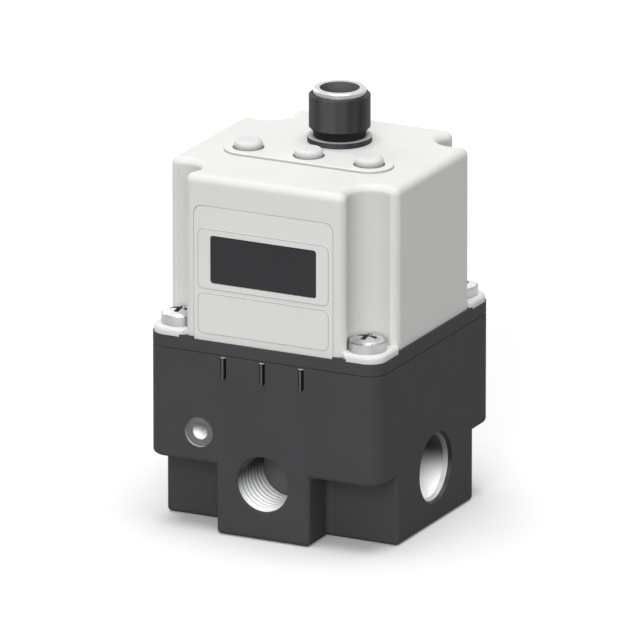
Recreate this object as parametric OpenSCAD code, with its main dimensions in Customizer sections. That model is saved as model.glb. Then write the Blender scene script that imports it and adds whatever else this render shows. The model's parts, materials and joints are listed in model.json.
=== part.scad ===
// Electro pneumatic regulator: a 50 mm square block with a hooded control head.
// Frame: origin at the middle of the foot, X to the supply port, front faces -Y, Z up. Millimetres.

/* [Main body] */
// Width and depth of the square body
body_w = 50; // [49:0.5:56]
// Radius of the body's four upright corners
corner_r = 3.7; // [2.5:0.1:4.5]
// Height of the plus-shaped foot under the square part
foot_h = 14; // [13:0.1:15]
// Height of the square part, up to the parting line
block_h = 22.2; // [21.6:0.1:25]
// Width of the front and back arms of the foot
boss_w = 20; // [18:0.5:24]
// Depth of the left and right arms of the foot
bar_d = 33.4; // [30:0.2:36]
// Cast radius along outside edges
edge_r = 0.9; // [0.5:0.1:1.2]
// Cast radius in inside corners
fillet_r = 1.2; // [0.6:0.1:1.6]
// Bevel radius on both sides of the parting line
seam_r = 0.3; // [0.1:0.1:0.5]
// Width of a front rib
rib_w = 1.2; // [0.8:0.1:1.6]
// Height of a front rib
rib_h = 4.4; // [3:0.1:6]
// How far a rib stands out of the front
rib_proud = 0.5; // [0.3:0.1:0.7]
// Spacing of the front ribs
rib_pitch = 8.35; // [6:0.05:10]

/* [Ports] */
// Height of the three pipe ports above the foot
port_z = 11.3; // [10.5:0.1:12]
// Bore of the left and right ports
side_port_d = 12.6; // [11:0.1:13]
// Width of a side port's mouth at the face
side_mouth_d = 14.2; // [13.6:0.1:15]
// Width of a side port's bright inner bevel
side_ring_d = 13.5; // [13.2:0.1:13.5]
// Depth of the outer bevel
side_mouth_t = 0.7; // [0.4:0.1:1]
// Depth of the inner bevel
side_ring_t = 0.8; // [0.4:0.1:1]
// Depth of a side port
side_port_l = 12; // [10:0.5:12.5]
// Bore of the front port
front_port_d = 11; // [10:0.1:12]
// Depth of the front port
front_port_l = 11.5; // [9:0.5:12]
// Bevel at the front port's mouth
front_mouth_t = 0.3; // [0.2:0.1:0.5]
// Sideways place of the bleed port
bleed_x = -13.7; // [-14.2:0.1:-13.2]
// Height of the bleed port
bleed_z = 20.1; // [19:0.1:24]
// Bore of the bleed port
bleed_d = 3.3; // [2.5:0.1:3.4]
// Width of the bleed port's spot face
bleed_face_d = 6; // [5:0.1:7]
// Depth of the bleed port's spot face
bleed_face_t = 0.5; // [0.3:0.1:0.8]
// Spacing of the bracket holes, left to right
bracket_x = 39; // [37:0.5:41]
// Spacing of the bracket holes, front to back
bracket_y = 23; // [21:0.5:24]
// Bore of a bracket hole
bracket_d = 3.3; // [2.5:0.1:3.4]
// Depth of a bracket hole
bracket_l = 7; // [5:0.5:9]

/* [Pilot plate] */
// Thickness of the plate at its edge
plate_t = 3; // [2.8:0.1:3.6]
// Depth of the plate's recesses for the screw pads and the panel
let_in = 0.5; // [0.3:0.1:0.7]
// Rise of the valve deck inside the cover
deck_t = 4.8; // [4.6:0.1:5.2]
// Set-back of the valve deck from the cover's sides
deck_side = 9; // [9:0.25:9.5]
// Set-back of the valve deck from the cover's front and back
deck_end = 10; // [10:0.25:10.25]

/* [Cover] */
// Set-back of the cover's walls from the body's faces
cover_inset = 0.5; // [0.3:0.1:0.7]
// Height of the cover above the plate
cover_h = 32.5; // [32.3:0.1:37]
// Width taken off each end of the front and back faces by the scallops
front_notch = 9.1; // [9:0.1:9.2]
// Width taken off each end of the side faces by the scallops
side_notch = 10.2; // [10:0.1:10.3]
// Radius of the corner scallops
scallop_r = 4.4; // [4.3:0.1:4.6]
// Radius of the cover's outside edges
cover_r = 1.6; // [1.5:0.1:1.8]
// Wall of the cover
wall = 2; // [1.9:0.1:2.2]
// Thickness of the cover's top
roof_t = 2; // [1.8:0.1:2.2]
// Thickness of the screw pads
pad_t = 1.5; // [1.2:0.1:2]
// Radius along the top edge of the pads
pad_r = 0.8; // [0.4:0.1:1]
// Set-back of the pads from the body's face
pad_inset = 0.2; // [0.1:0.1:0.4]
// Reach of the pads from the scallop's middle
pad_reach = 5.75; // [5.5:0.05:5.8]

/* [Front panel] */
// Strip of the cover's flat front on each side of the panel
panel_edge = 0.5; // [0.4:0.1:1.2]
// Height of the panel
panel_h = 27; // [26.6:0.1:29]
// Thickness of the panel
panel_t = 0.8; // [0.6:0.1:1]
// Radius of the panel's top corners
panel_r = 1.8; // [1:0.1:2.5]
// Gap round the panel
panel_gap = 0.1; // [0.08:0.02:0.2]
// Strip of the panel on each side of the raised fields
field_edge = 0.85; // [0.8:0.05:1.8]
// Rise of the raised fields
field_t = 0.1; // [0.06:0.02:0.16]
// Radius of the fields' corners
field_r = 1.2; // [0.8:0.1:1.6]
// Lower edge of the bottom field above the panel's lower edge
low_field_z = 1.4; // [1:0.1:1.6]
// Height of the bottom field
low_field_h = 8.2; // [7:0.1:8.4]
// Height of the display field
high_field_h = 12.1; // [11:0.1:12.4]
// Gap between the two fields
field_gap = 0.8; // [0.5:0.1:1.2]
// Width of the display window
window_w = 22.8; // [20:0.1:23]
// Height of the display window
window_h = 9.65; // [8:0.05:10]
// Radius of the window's corners
window_r = 0.6; // [0.4:0.1:1]
// Set-back of the window behind the display field
window_sink = 0.25; // [0.1:0.05:0.4]
// Rim of the window's flange behind the cover's wall
window_rim = 1; // [0.8:0.1:1.2]
// Thickness of the window's flange
window_flange_t = 0.8; // [0.6:0.1:1]

/* [Buttons] */
// Diameter of a button
button_d = 5.6; // [4.8:0.1:5.8]
// Height of a button above its land
button_h = 1.6; // [1.4:0.1:2]
// Radius of a button's upper edge
button_edge_r = 1; // [0.8:0.1:1.3]
// Spacing of the buttons
button_pitch = 13; // [12.5:0.1:13]
// Place of the button row, front to back
button_y = -4.9; // [-5.2:0.1:-4.7]
// Gap round a button
button_gap = 0.3; // [0.2:0.05:0.4]
// Travel of a button
button_travel = 0.5; // [0.3:0.1:0.6]
// Radius of the raised land's ends
land_r = 4.8; // [4.5:0.1:5]
// Rise of the raised land
land_h = 0.55; // [0.45:0.05:0.7]
// Radius along the raised land's edge
land_edge_r = 0.4; // [0.1:0.05:0.4]

/* [Connector] */
// Place of the connector, front to back
conn_y = 8.5; // [7.6:0.1:8.8]
// Diameter of the flange
flange_d = 12.6; // [12.2:0.1:14]
// Thickness of the flange
flange_t = 1.1; // [1:0.1:1.4]
// Diameter of the neck
neck_d = 10.3; // [10:0.1:10.6]
// Height of the neck
neck_h = 1.9; // [1.5:0.1:2.4]
// Diameter of the collar
collar_d = 12; // [11.8:0.1:12.4]
// Height of the collar
collar_h = 6.6; // [6:0.1:8]
// Bevel under the collar
collar_bevel = 0.8; // [0.5:0.1:0.8]
// Bevel on top of the collar
collar_top_bevel = 0.3; // [0.2:0.1:0.4]
// Outside of the bright sleeve
sleeve_d = 10.4; // [10.2:0.1:10.6]
// Bore of the bright sleeve
sleeve_bore_d = 7.8; // [7.4:0.1:8]
// Height of the sleeve above the collar
sleeve_proud = 1.1; // [0.6:0.05:1.2]
// Diameter of the panel thread below the neck
stud_d = 9.6; // [9.4:0.1:9.8]
// Length of the panel thread below the cover's top
stud_l = 5.6; // [5.4:0.1:5.8]
// Diameter of a contact pin
pin_d = 1; // [0.8:0.1:1.1]
// Radius of the ring of contact pins
pin_ring_r = 2; // [1.8:0.1:2.2]
// Depth of the pin tips below the sleeve's rim
pin_depth = 4.8; // [4.6:0.1:5]
// Width of the nut across its flats
nut_w = 12; // [11.6:0.1:12.4]
// Thickness of the nut
nut_t = 2.4; // [2:0.1:2.6]

/* [Cover screws] */
// Distance of the screws from the body's faces
screw_inset = 4.9; // [4.7:0.1:5]
// Thread diameter
screw_d = 4; // [3.5:0.1:4.2]
// Diameter of the head
head_d = 7.4; // [7:0.1:7.6]
// Height of the head's straight side
head_side_h = 1.8; // [1.4:0.1:2.2]
// Height of the head's dome
head_dome_h = 1; // [0.7:0.1:1.3]
// Length of the screw's thread
screw_l = 12; // [10:0.5:14]
// Length of a cross slot
cross_l = 4.8; // [3.6:0.1:5]
// Width of a cross slot
cross_w = 1; // [0.8:0.1:1.2]
// Depth of the cross
cross_t = 1.7; // [1.3:0.1:2]

/* [Valve] */
// Radius of the diaphragm
diaphragm_r = 16.5; // [16:0.1:16.6]
// Thickness of the diaphragm
diaphragm_t = 1.2; // [1:0.1:1.5]
// Free radius of the diaphragm inside its clamped rim
active_r = 14.2; // [13.8:0.1:14.5]
// Radius of the two discs
disc_r = 11.5; // [10:0.1:12]
// Thickness of a disc
disc_t = 1.2; // [1:0.1:1.5]
// Stroke that opens the supply valve
open_travel = 1.2; // [0.8:0.1:1.3]
// Lift that opens the exhaust
vent_travel = 0.8; // [0.5:0.1:0.9]
// Diameter of the stem
stem_d = 5; // [4.6:0.1:5.4]
// Diameter of the stem's threaded end
stem_thread_d = 3; // [2.6:0.1:3.2]
// Bore of the valve seat
seat_d = 9; // [8:0.1:9.4]
// Height of the valve seat above the foot
seat_z = 17.5; // [17:0.1:18]
// Thickness of the seat's web
seat_t = 2; // [1.6:0.1:2.2]
// Radius of the outlet chamber
outlet_r = 9; // [8:0.1:9.2]
// Height of the outlet chamber
outlet_h = 6.5; // [6.3:0.1:7]
// Radius of the supply chamber and its plug's bore
chamber_r = 9.5; // [9.2:0.1:9.7]
// Radius of the valve's head
valve_r = 7.2; // [6.8:0.1:7.4]
// Thickness of the valve's head
valve_t = 2.2; // [1.8:0.1:2.6]
// Diameter of the valve's hollow tail
tail_d = 6; // [5.6:0.1:6.2]
// Bore of the valve's hollow tail
vent_d = 2.6; // [2:0.1:3]
// Running clearance of the stem and of the tail
run_gap = 0.05; // [0.02:0.01:0.1]
// Mean radius of the valve spring
spring_r = 6.2; // [6.1:0.1:6.4]
// Wire diameter of the valve spring
wire_d = 1; // [0.8:0.1:1]
// Turns of the valve spring
spring_turns = 5; // [4:1:7]
// Thickness of the bottom plug's disc
plug_t = 4.2; // [4:0.1:4.4]
// Radius of the plug's guide tower
tower_r = 5.2; // [5:0.1:5.3]
// Height of the plug's guide tower
tower_h = 3; // [2.6:0.1:3.2]
// Cord radius of the plug's rings
plug_cord_r = 0.45; // [0.4:0.05:0.5]
// Thickness of the retaining ring
clip_t = 0.9; // [0.7:0.1:1]
// Bite of the retaining ring into its groove
clip_bite = 0.7; // [0.4:0.1:0.9]
// Set-back of the retaining ring above the foot
clip_z = 0.5; // [0.4:0.1:0.6]

/* [Electronics] */
// Thickness of the boards
board_t = 1.5; // [1.2:0.1:1.6]
// Set-back of the control board from the cover's sides
board_side = 4.5; // [4:0.25:5]
// Set-back of the control board from the cover's front and back
board_end = 11.7; // [11.5:0.1:11.7]
// Width of a switch
switch_w = 6; // [5.6:0.1:6.2]
// Height of a switch's case
switch_h = 3.4; // [3.2:0.1:3.6]
// Diameter of a switch's plunger
plunger_d = 3.4; // [3:0.1:3.6]
// Height of the plunger above the case
plunger_h = 0.9; // [0.8:0.1:1]
// Width of the display board
display_board_w = 28; // [26:0.5:28]
// Depth of the display module
module_t = 3.4; // [3:0.1:3.6]
// Width of a solenoid valve
solenoid_w = 10.6; // [10:0.1:11]
// Length of a solenoid valve's base
solenoid_d = 18; // [17.6:0.1:18]
// Height of a solenoid valve's base
solenoid_base_h = 6.6; // [6:0.1:7]
// Spacing of the two solenoid valves
solenoid_pitch = 12.4; // [11.4:0.1:12.8]
// Place of the solenoid valves, front to back
solenoid_y = 3; // [2.8:0.1:3.2]
// Thickness of a solenoid gasket
gasket_t = 0.5; // [0.4:0.1:0.6]

/* [Hidden] */
$fn = 64;
// Overrun of a cut, and overlap of shapes that join into one piece
tiny = 0.01;
sink = 1;
// Clearance of a close fit and of a loose one
fit_gap = 0.05;
loose_gap = 0.2;
// Room left under the end of a screw
screw_end_gap = 0.4;

// Foot's arms, run up into the square part
arm_r = edge_r + tiny;
arm_h = foot_h + corner_r;

// Levels, from the foot up
z_seam = foot_h + block_h;
z_plate = z_seam + plate_t;
z_pad = z_plate - let_in;
z_head = z_pad + pad_t;
z_tap = z_head - screw_l - sink;
z_deck = z_plate + deck_t;
z_top = z_plate + cover_h;
z_roof = z_top - roof_t;
z_land = z_top + land_h;

// Scallop middle: the circle that touches both edge rounds beside it
body_half = body_w / 2;
cover_half = body_half - cover_inset;
front_round = [cover_half - front_notch, cover_half - cover_r];
side_round = [cover_half - cover_r, cover_half - side_notch];
round_span = side_round - front_round;
round_mid = (side_round + front_round) / 2;
touch_r = scallop_r + cover_r;
scallop_rise = sqrt(touch_r * touch_r - round_span * round_span / 4);
scallop_at = round_mid + scallop_rise * [-round_span[1], round_span[0]] / norm(round_span);
front_turn = atan2(scallop_at[1] - front_round[1], scallop_at[0] - front_round[0]);
side_turn = atan2(scallop_at[1] - side_round[1], scallop_at[0] - side_round[0]);

// Sizes that follow the body and the cover
screw_at = body_half - screw_inset;
deck_w = 2 * (cover_half - deck_side);
deck_d = 2 * (cover_half - deck_end);
board_w = 2 * (cover_half - board_side);
board_d = 2 * (cover_half - board_end);
panel_w = 2 * (front_round[0] - panel_edge);
field_w = panel_w - 2 * field_edge;

// Cover's front, from outside in
y_face = -cover_half;
y_inner = y_face + wall;
y_module = y_inner + window_flange_t + loose_gap;
y_display = y_module + module_t;
y_display_back = y_display + board_t;
z_low_field = z_pad + low_field_z;
z_high_field = z_low_field + low_field_h + field_gap;
z_window = z_high_field + high_field_h / 2;
lens_gap = fit_gap;

// Control board stack, hung below the cover's top
button_r = button_d / 2;
button_rim = 1;
button_flange_r = button_r + button_rim;
button_flange_t = 1;
button_foot_h = 0.3;
hang_gap = 0.1;
z_flange = z_roof - hang_gap - button_flange_t;
z_foot = z_flange - button_foot_h;
z_case = z_foot - plunger_h;
z_board = z_case - switch_h;
z_board_low = z_board - board_t;
plunger_in = 0.4;
plunger_hole_l = plunger_in + button_travel + loose_gap;
post_inset = [2.4, 2.6];
post_at = [board_w / 2 - post_inset[0], board_d / 2 - post_inset[1]];
post_d = 4.6;
tap_d = 1.7;
tap_l = 3.5;
board_screw_l = board_t + tap_l - screw_end_gap;
board_screw_head_d = 3.4;
board_screw_head_t = 1.2;
board_r = 1;
tongue_w = 20;
tongue_d = abs(y_display_back) - board_d / 2 - loose_gap;
header_w = 16;
header_d = tongue_d - loose_gap;
header_h = 2.4;
display_board_lift = 3;
display_board_h = z_board_low - z_deck - display_board_lift;
module_inset = 0.6;
module_w = window_w - 2 * module_inset;
module_h = window_h - 2 * module_inset;

// Gasket inside the cover's lower rim
gasket_w = 1.2;
gasket_h = 1;

// Pressure sensor, plugged into the deck
sensor_w = 7;
sensor_d = 4.4;
sensor_h = 7;
sensor_y = y_display_back + sensor_d / 2;
sensor_lift = 2.6;
z_sensor = z_deck + sensor_lift;
nipple_d = 3;
nipple_in = 1.4;
z_socket = z_deck - nipple_in - sink;
sensor_cord_r = 0.5;
sensor_ring_r = nipple_d / 2 + sensor_cord_r;
sensor_seat_d = 2 * (nipple_d / 2 + 2 * sensor_cord_r) + 2 * fit_gap;
deck_r = 2;
deck_edge_r = 0.5;
deck_tongue_w = 10;
deck_tongue_y = sensor_y - sensor_seat_d;
side_tongue_w = 5;
side_tongue_x = cover_half - wall - gasket_w - loose_gap;

// Solenoid valves
coil_w = 9.8;
coil_d = 11.6;
coil_gap = 1.5;
z_gasket = z_deck + gasket_t;
z_coil = z_gasket + solenoid_base_h;
z_coil_top = z_board_low - coil_gap;
coil_h = z_coil_top - z_coil;
coil_r = 1;
coil_edge_r = 0.6;
case_r = 0.8;
case_edge_r = 0.4;
terminal_d = 0.8;
terminal_pitch = 4;
terminal_l = coil_gap + board_t / 2;
terminal_set = 3;
terminal_y = solenoid_y - terminal_set;
solenoid_screw_d = 1.7;
solenoid_tap_d = solenoid_screw_d + 2 * fit_gap;
solenoid_screw_head_d = 2.6;
solenoid_screw_head_t = 1.2;
solenoid_screw_in = 3;
solenoid_screw_y = (solenoid_d + coil_d) / 4;
pilot_hole_d = 1.4;
pilot_near = 2;
pilot_far = 4;
gallery_d = 1.1;
gallery_depth = 2.2;
z_gallery = z_deck - gallery_depth;

// Connector stack, from the cover's top up
z_neck = z_top + flange_t;
z_collar = z_neck + neck_h - collar_bevel;
z_collar_top = z_neck + neck_h + collar_h;
z_rim = z_collar_top + sleeve_proud;
z_sleeve = z_neck + neck_h + collar_bevel / 2;
z_stud = z_top - stud_l;
z_insert = z_neck + neck_h / 2;
bore_gap = fit_gap;
insert_r = sleeve_bore_d / 2;
seal_cord_r = 0.38;
seal_ring_r = (stud_d / 2 + flange_d / 2) / 2;
pin_tail = 0.7;

// Diaphragm and valve, round the body's upright middle line
z_clamp = z_seam - diaphragm_t;
z_disc = z_clamp - disc_t;
floor_gap = 0.8;
stop_gap = 0.3;
z_floor = z_disc - open_travel - floor_gap;
z_outlet = seat_z + seat_t;
high_room = disc_t + vent_travel + stop_gap;
stem_nut_w = 5.5;
stem_nut_t = 2;
stem_over = 0.4;
nut_room = high_room + stem_nut_t + stem_over;
nut_gap = 0.6;
nut_room_r = stem_nut_w / 2 / cos(30) + nut_gap;
nose_h = 1;
z_stem = seat_z + nose_h;
z_valve = seat_z - valve_t;
z_plug = clip_z + clip_t + fit_gap;
z_plug_top = z_plug + plug_t;
plug_floor_t = 1;
z_tail = z_plug + plug_floor_t + open_travel + stop_gap;
z_tower = z_plug_top + tower_h;
tail_hole_r = tail_d / 2 + run_gap;
guide_cord_r = 0.45;
plug_r = chamber_r - fit_gap;
ring_groove_r = chamber_r - 2 * plug_cord_r - fit_gap;
ring_inset = 0.75;
ring_places = [z_plug + ring_inset, z_plug_top - ring_inset];
z_vent = (ring_places[0] + ring_places[1]) / 2;
guide_lip = 1;
vent_bore_d = 1.4;
vent_groove_h = 0.8;
vent_groove_t = 0.6;

// Air ways in the body
vent_way_d = 1.4;
vent_x = 2.6;
vent_drop = 3;
vent_mouth = [vent_x, front_port_l - body_half - sink, port_z - vent_drop];
vent_wall = [vent_x, -sqrt(chamber_r * chamber_r - vent_x * vent_x), z_vent];
vent_run = vent_wall - vent_mouth;
supply_way_d = 8;
outlet_way_d = 6;
outlet_riser_d = 5.4;
outlet_way_in = 3;
outlet_way_x = side_port_l - outlet_way_in - body_half;
z_outlet_way = z_outlet + outlet_h / 2;
riser_d = 1.8;
supply_riser_in = 5.5;
bleed_riser_in = 2;
sense_riser_in = 6.4;
supply_riser_x = body_half - supply_riser_in;
bleed_riser_y = bleed_riser_in - deck_d / 2;
sense_riser_y = sense_riser_in - body_half;
sense_way_d = 2.2;
sense_run = [0, sense_riser_y - sensor_y, z_seam - z_socket];

// Colours
charcoal = "#3f3f41";
pale = "#e4e4e1";
panel_grey = "#dcdcda";
smoke = "#38393b";
button_grey = "#d5d7d6";
plated = "#c9cbcd";
ink = "#2d2d2f";
nickel = "#d2d4d6";
gold = "#c9a44a";
board_green = "#2f6b46";
rubber = "#232325";
cream = "#d9d3c0";
brass = "#b8954c";
steel = "#a9abad";

// Children at the four corners of a rectangle round the middle line
module at_corners(x, y) {
    for (sx = [-1, 1], sy = [-1, 1])
        translate([sx * x, sy * y, 0])
            children();
}

// Children as drawn in the right-hand back quarter, and mirrored into the other three
module four_ways() {
    for (sx = [0, 1], sy = [0, 1])
        mirror([sx, 0, 0])
            mirror([0, sy, 0])
                children();
}

// Straight bore between two points
module way(from, to, d) {
    run = to - from;
    flat = norm([run[0], run[1]]);
    translate(from)
        rotate([0, atan2(flat, run[2]), atan2(run[1], run[0])])
            cylinder(h = norm(run), d = d);
}

// Upright bore between two levels
module rise(x, y, z_from, z_to, d) {
    translate([x, y, z_from])
        cylinder(h = z_to - z_from, d = d);
}

// Half section of a block's edge: low and high outer corners rounded
module edge_section(w, h, low_r, high_r) {
    intersection() {
        square([w, h]);
        union() {
            translate([0, low_r])
                square([w, h - low_r - high_r]);
            if (w > low_r)
                square([w - low_r, h / 2]);
            if (w > high_r)
                translate([0, h / 2])
                    square([w - high_r, h / 2]);
            if (low_r > 0)
                translate([w - low_r, low_r])
                    circle(r = low_r);
            if (high_r > 0)
                translate([w - high_r, h - high_r])
                    circle(r = high_r);
        }
    }
}

// Rectangular block with round upright corners and rounded lower and upper edges
module soft_block(w, d, h, r, low_r, high_r) {
    inner = [w / 2 - r, d / 2 - r];
    translate([-inner[0], -inner[1], 0])
        cube([2 * inner[0], 2 * inner[1], h]);
    four_ways()
        translate([inner[0], inner[1], 0])
            rotate_extrude(angle = 90)
                edge_section(r, h, low_r, high_r);
    for (turn = [0, 180]) {
        rotate([0, 0, turn])
            translate([inner[0], inner[1], 0])
                rotate([90, 0, 0])
                    linear_extrude(2 * inner[1])
                        edge_section(r, h, low_r, high_r);
        rotate([0, 0, turn + 90])
            translate([inner[1], inner[0], 0])
                rotate([90, 0, 0])
                    linear_extrude(2 * inner[0])
                        edge_section(r, h, low_r, high_r);
    }
}

// Rectangle with round corners, round its middle
module soft_rect(w, h, r) {
    square([w - 2 * r, h], center = true);
    square([w, h - 2 * r], center = true);
    for (sx = [-1, 1], sy = [-1, 1])
        translate([sx * (w / 2 - r), sy * (h / 2 - r)])
            circle(r = r);
}

// Plate on the cover's front: drawn as width and height, thickness running back from y
module front_plate(y, z, t) {
    translate([0, y + t, z])
        rotate([90, 0, 0])
            linear_extrude(t)
                children();
}

// Ring of round cord
module cord_ring(r, cord_r) {
    rotate_extrude()
        translate([r, 0])
            circle(r = cord_r, $fn = 32);
}

// Fill for an inside corner: its two flat sides lie on X and Y
module corner_fill(r) {
    difference() {
        square(r);
        translate([r, r])
            circle(r = r);
    }
}

// Main body

// Fills in the inside corners between the foot's arms and under the square part
module foot_fills() {
    arm_d = body_half - bar_d / 2;
    arm_w = body_half - boss_w / 2;
    four_ways() {
        translate([boss_w / 2, bar_d / 2, edge_r])
            linear_extrude(foot_h)
                corner_fill(fillet_r);
        translate([boss_w / 2, bar_d / 2 + arm_d - edge_r, foot_h])
            rotate([90, 0, 0])
                linear_extrude(arm_d - edge_r)
                    mirror([0, 1])
                        corner_fill(fillet_r);
        translate([boss_w / 2, bar_d / 2, foot_h])
            rotate([90, 0, 90])
                linear_extrude(arm_w - edge_r)
                    mirror([0, 1])
                        corner_fill(fillet_r);
    }
}

// Upright rib on the front with a round lower end
module rib() {
    translate([0, -body_half, z_seam - seam_r])
        mirror([0, 0, 1])
            intersection() {
                union() {
                    translate([-rib_w / 2, -rib_proud, 0])
                        cube([rib_w, 2 * rib_proud, rib_h - rib_w / 2]);
                    translate([0, rib_proud, rib_h - rib_w / 2])
                        rotate([90, 0, 0])
                            cylinder(h = 2 * rib_proud, d = rib_w);
                }
                translate([0, rib_w / 2 - rib_proud, 0])
                    cylinder(h = rib_h, d = rib_w);
            }
}

// Side port along +X from the face inwards, with its two bevels
module side_port() {
    translate([body_half, 0, port_z])
        rotate([0, -90, 0]) {
            cylinder(h = side_port_l, d = side_port_d);
            cylinder(h = side_mouth_t, d1 = side_mouth_d, d2 = side_ring_d);
            translate([0, 0, side_mouth_t])
                cylinder(h = side_ring_t, d1 = side_ring_d, d2 = side_port_d);
        }
}

// Front port and its mouth
module front_port() {
    translate([0, -body_half, port_z])
        rotate([-90, 0, 0]) {
            cylinder(h = front_port_l, d = front_port_d);
            cylinder(h = front_mouth_t, d1 = front_port_d + 2 * front_mouth_t, d2 = front_port_d);
        }
}

// Bleed port, its spot face and its riser to the pilot plate
module bleed_port() {
    translate([bleed_x, -body_half, bleed_z])
        rotate([-90, 0, 0]) {
            cylinder(h = body_half + bleed_riser_y + riser_d, d = bleed_d);
            cylinder(h = bleed_face_t, d = bleed_face_d);
        }
    translate([bleed_x, bleed_riser_y, bleed_z])
        cylinder(h = z_seam, d = riser_d);
}

// Chambers on the upright middle line
module valve_bores() {
    translate([0, 0, -tiny])
        cylinder(h = seat_z + tiny, r = chamber_r);
    translate([0, 0, clip_z])
        cylinder(h = clip_t + fit_gap, r = chamber_r + clip_bite + fit_gap);
    cylinder(h = z_outlet, d = seat_d);
    translate([0, 0, z_outlet])
        cylinder(h = outlet_h, r = outlet_r);
    cylinder(h = z_seam, d = stem_d + 2 * run_gap);
    translate([0, 0, z_floor])
        cylinder(h = z_seam, r = active_r);
    translate([0, 0, z_clamp])
        cylinder(h = z_seam, r = diaphragm_r + fit_gap);
}

// Air ways between the ports and the chambers
module air_ways() {
    feed_at = outlet_r / 2;
    way([body_half - side_port_l + tiny, 0, port_z], [0, 0, port_z], supply_way_d);
    rise(outlet_way_x, 0, port_z, z_outlet_way, outlet_riser_d);
    way([outlet_way_x - outlet_way_d / 2, 0, z_outlet_way], [0, 0, z_outlet_way], outlet_way_d);
    rise(supply_riser_x, 0, port_z, z_seam + tiny, riser_d);
    rise(feed_at, feed_at, z_outlet_way, z_seam, riser_d);
    rise(0, sense_riser_y, z_outlet_way, z_seam + tiny, riser_d);
    way([0, sense_riser_y - riser_d, z_outlet_way], [0, 0, z_outlet_way], sense_way_d);
    way(vent_mouth, vent_wall + sink * vent_run / norm(vent_run), vent_way_d);
}

module main_body() {
    color(charcoal)
        difference() {
            union() {
                translate([0, 0, foot_h])
                    soft_block(body_w, body_w, block_h, corner_r, edge_r, seam_r);
                soft_block(body_w, bar_d, arm_h, arm_r, edge_r, 0);
                soft_block(boss_w, body_w, arm_h, arm_r, edge_r, 0);
                foot_fills();
                for (i = [-1, 0, 1])
                    translate([i * rib_pitch, 0, 0])
                        rib();
            }
            side_port();
            mirror([1, 0, 0])
                side_port();
            front_port();
            bleed_port();
            valve_bores();
            air_ways();
            translate([0, 0, z_tap])
                at_corners(screw_at, screw_at)
                    cylinder(h = z_seam - z_tap + tiny, d = screw_d + 2 * fit_gap);
            translate([0, 0, -tiny])
                at_corners(bracket_x / 2, bracket_y / 2)
                    cylinder(h = bracket_l + tiny, d = bracket_d);
        }
}

// Pilot plate

// Discs round the scallops that bound the screw pads and their recesses
module pad_discs(reach, z, h) {
    four_ways()
        translate([scallop_at[0], scallop_at[1], z])
            cylinder(h = h, r = reach);
}

module pilot_plate() {
    color(charcoal)
        difference() {
            union() {
                translate([0, 0, z_seam])
                    soft_block(body_w, body_w, plate_t, corner_r, seam_r, 0);
                translate([0, 0, z_plate - sink])
                    soft_block(deck_w, deck_d, deck_t + sink, deck_r, 0, deck_edge_r);
                translate([-deck_tongue_w / 2, deck_tongue_y, z_plate - sink])
                    cube([deck_tongue_w, -deck_tongue_y, deck_t + sink]);
                translate([0, -side_tongue_w / 2, z_plate - sink])
                    cube([side_tongue_x, side_tongue_w, deck_t + sink]);
            }
            pad_discs(pad_reach + fit_gap, z_pad, let_in + tiny);
            translate([-panel_w / 2 - panel_gap, -body_half - tiny, z_pad])
                cube([panel_w + 2 * panel_gap, cover_inset + panel_t + fit_gap + tiny, let_in + tiny]);
            translate([0, 0, z_seam - tiny])
                cylinder(h = high_room + tiny, r = active_r);
            translate([0, 0, z_seam])
                cylinder(h = nut_room, r = nut_room_r);
            translate([0, 0, z_seam - tiny])
                at_corners(screw_at, screw_at)
                    cylinder(h = z_head, d = screw_d + 2 * loose_gap);
            pilot_ways();
        }
}

// Pilot air ways, the sensor's socket and the solenoid screw holes
module pilot_ways() {
    valve_x = solenoid_pitch / 2;
    near_y = solenoid_y - pilot_near;
    far_y = solenoid_y + pilot_far;
    tap_depth = z_deck - solenoid_screw_in;
    for (sx = [-1, 1]) {
        rise(sx * valve_x, near_y, z_seam, z_deck + tiny, pilot_hole_d);
        rise(sx * valve_x, far_y, z_gallery - gallery_d, z_deck + tiny, pilot_hole_d);
        for (sy = [-1, 1])
            rise(sx * valve_x, solenoid_y + sy * solenoid_screw_y, tap_depth, z_deck + tiny, solenoid_tap_d);
    }
    rise(supply_riser_x, 0, z_seam - tiny, z_gallery + gallery_d, riser_d);
    way([supply_riser_x, 0, z_gallery], [valve_x, far_y, z_gallery], gallery_d);
    rise(bleed_x, bleed_riser_y, z_seam - tiny, z_gallery + gallery_d, riser_d);
    way([bleed_x, bleed_riser_y, z_gallery], [-valve_x, far_y, z_gallery], gallery_d);
    translate([0, sensor_y, z_socket])
        cylinder(h = z_deck, d = nipple_d + 2 * fit_gap);
    translate([0, sensor_y, z_deck - 2 * sensor_cord_r])
        cylinder(h = z_deck, d = sensor_seat_d);
    way([0, sensor_y, z_socket], [0, sense_riser_y, z_seam] + sink * sense_run / norm(sense_run), riser_d);
}

// Cover

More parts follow.
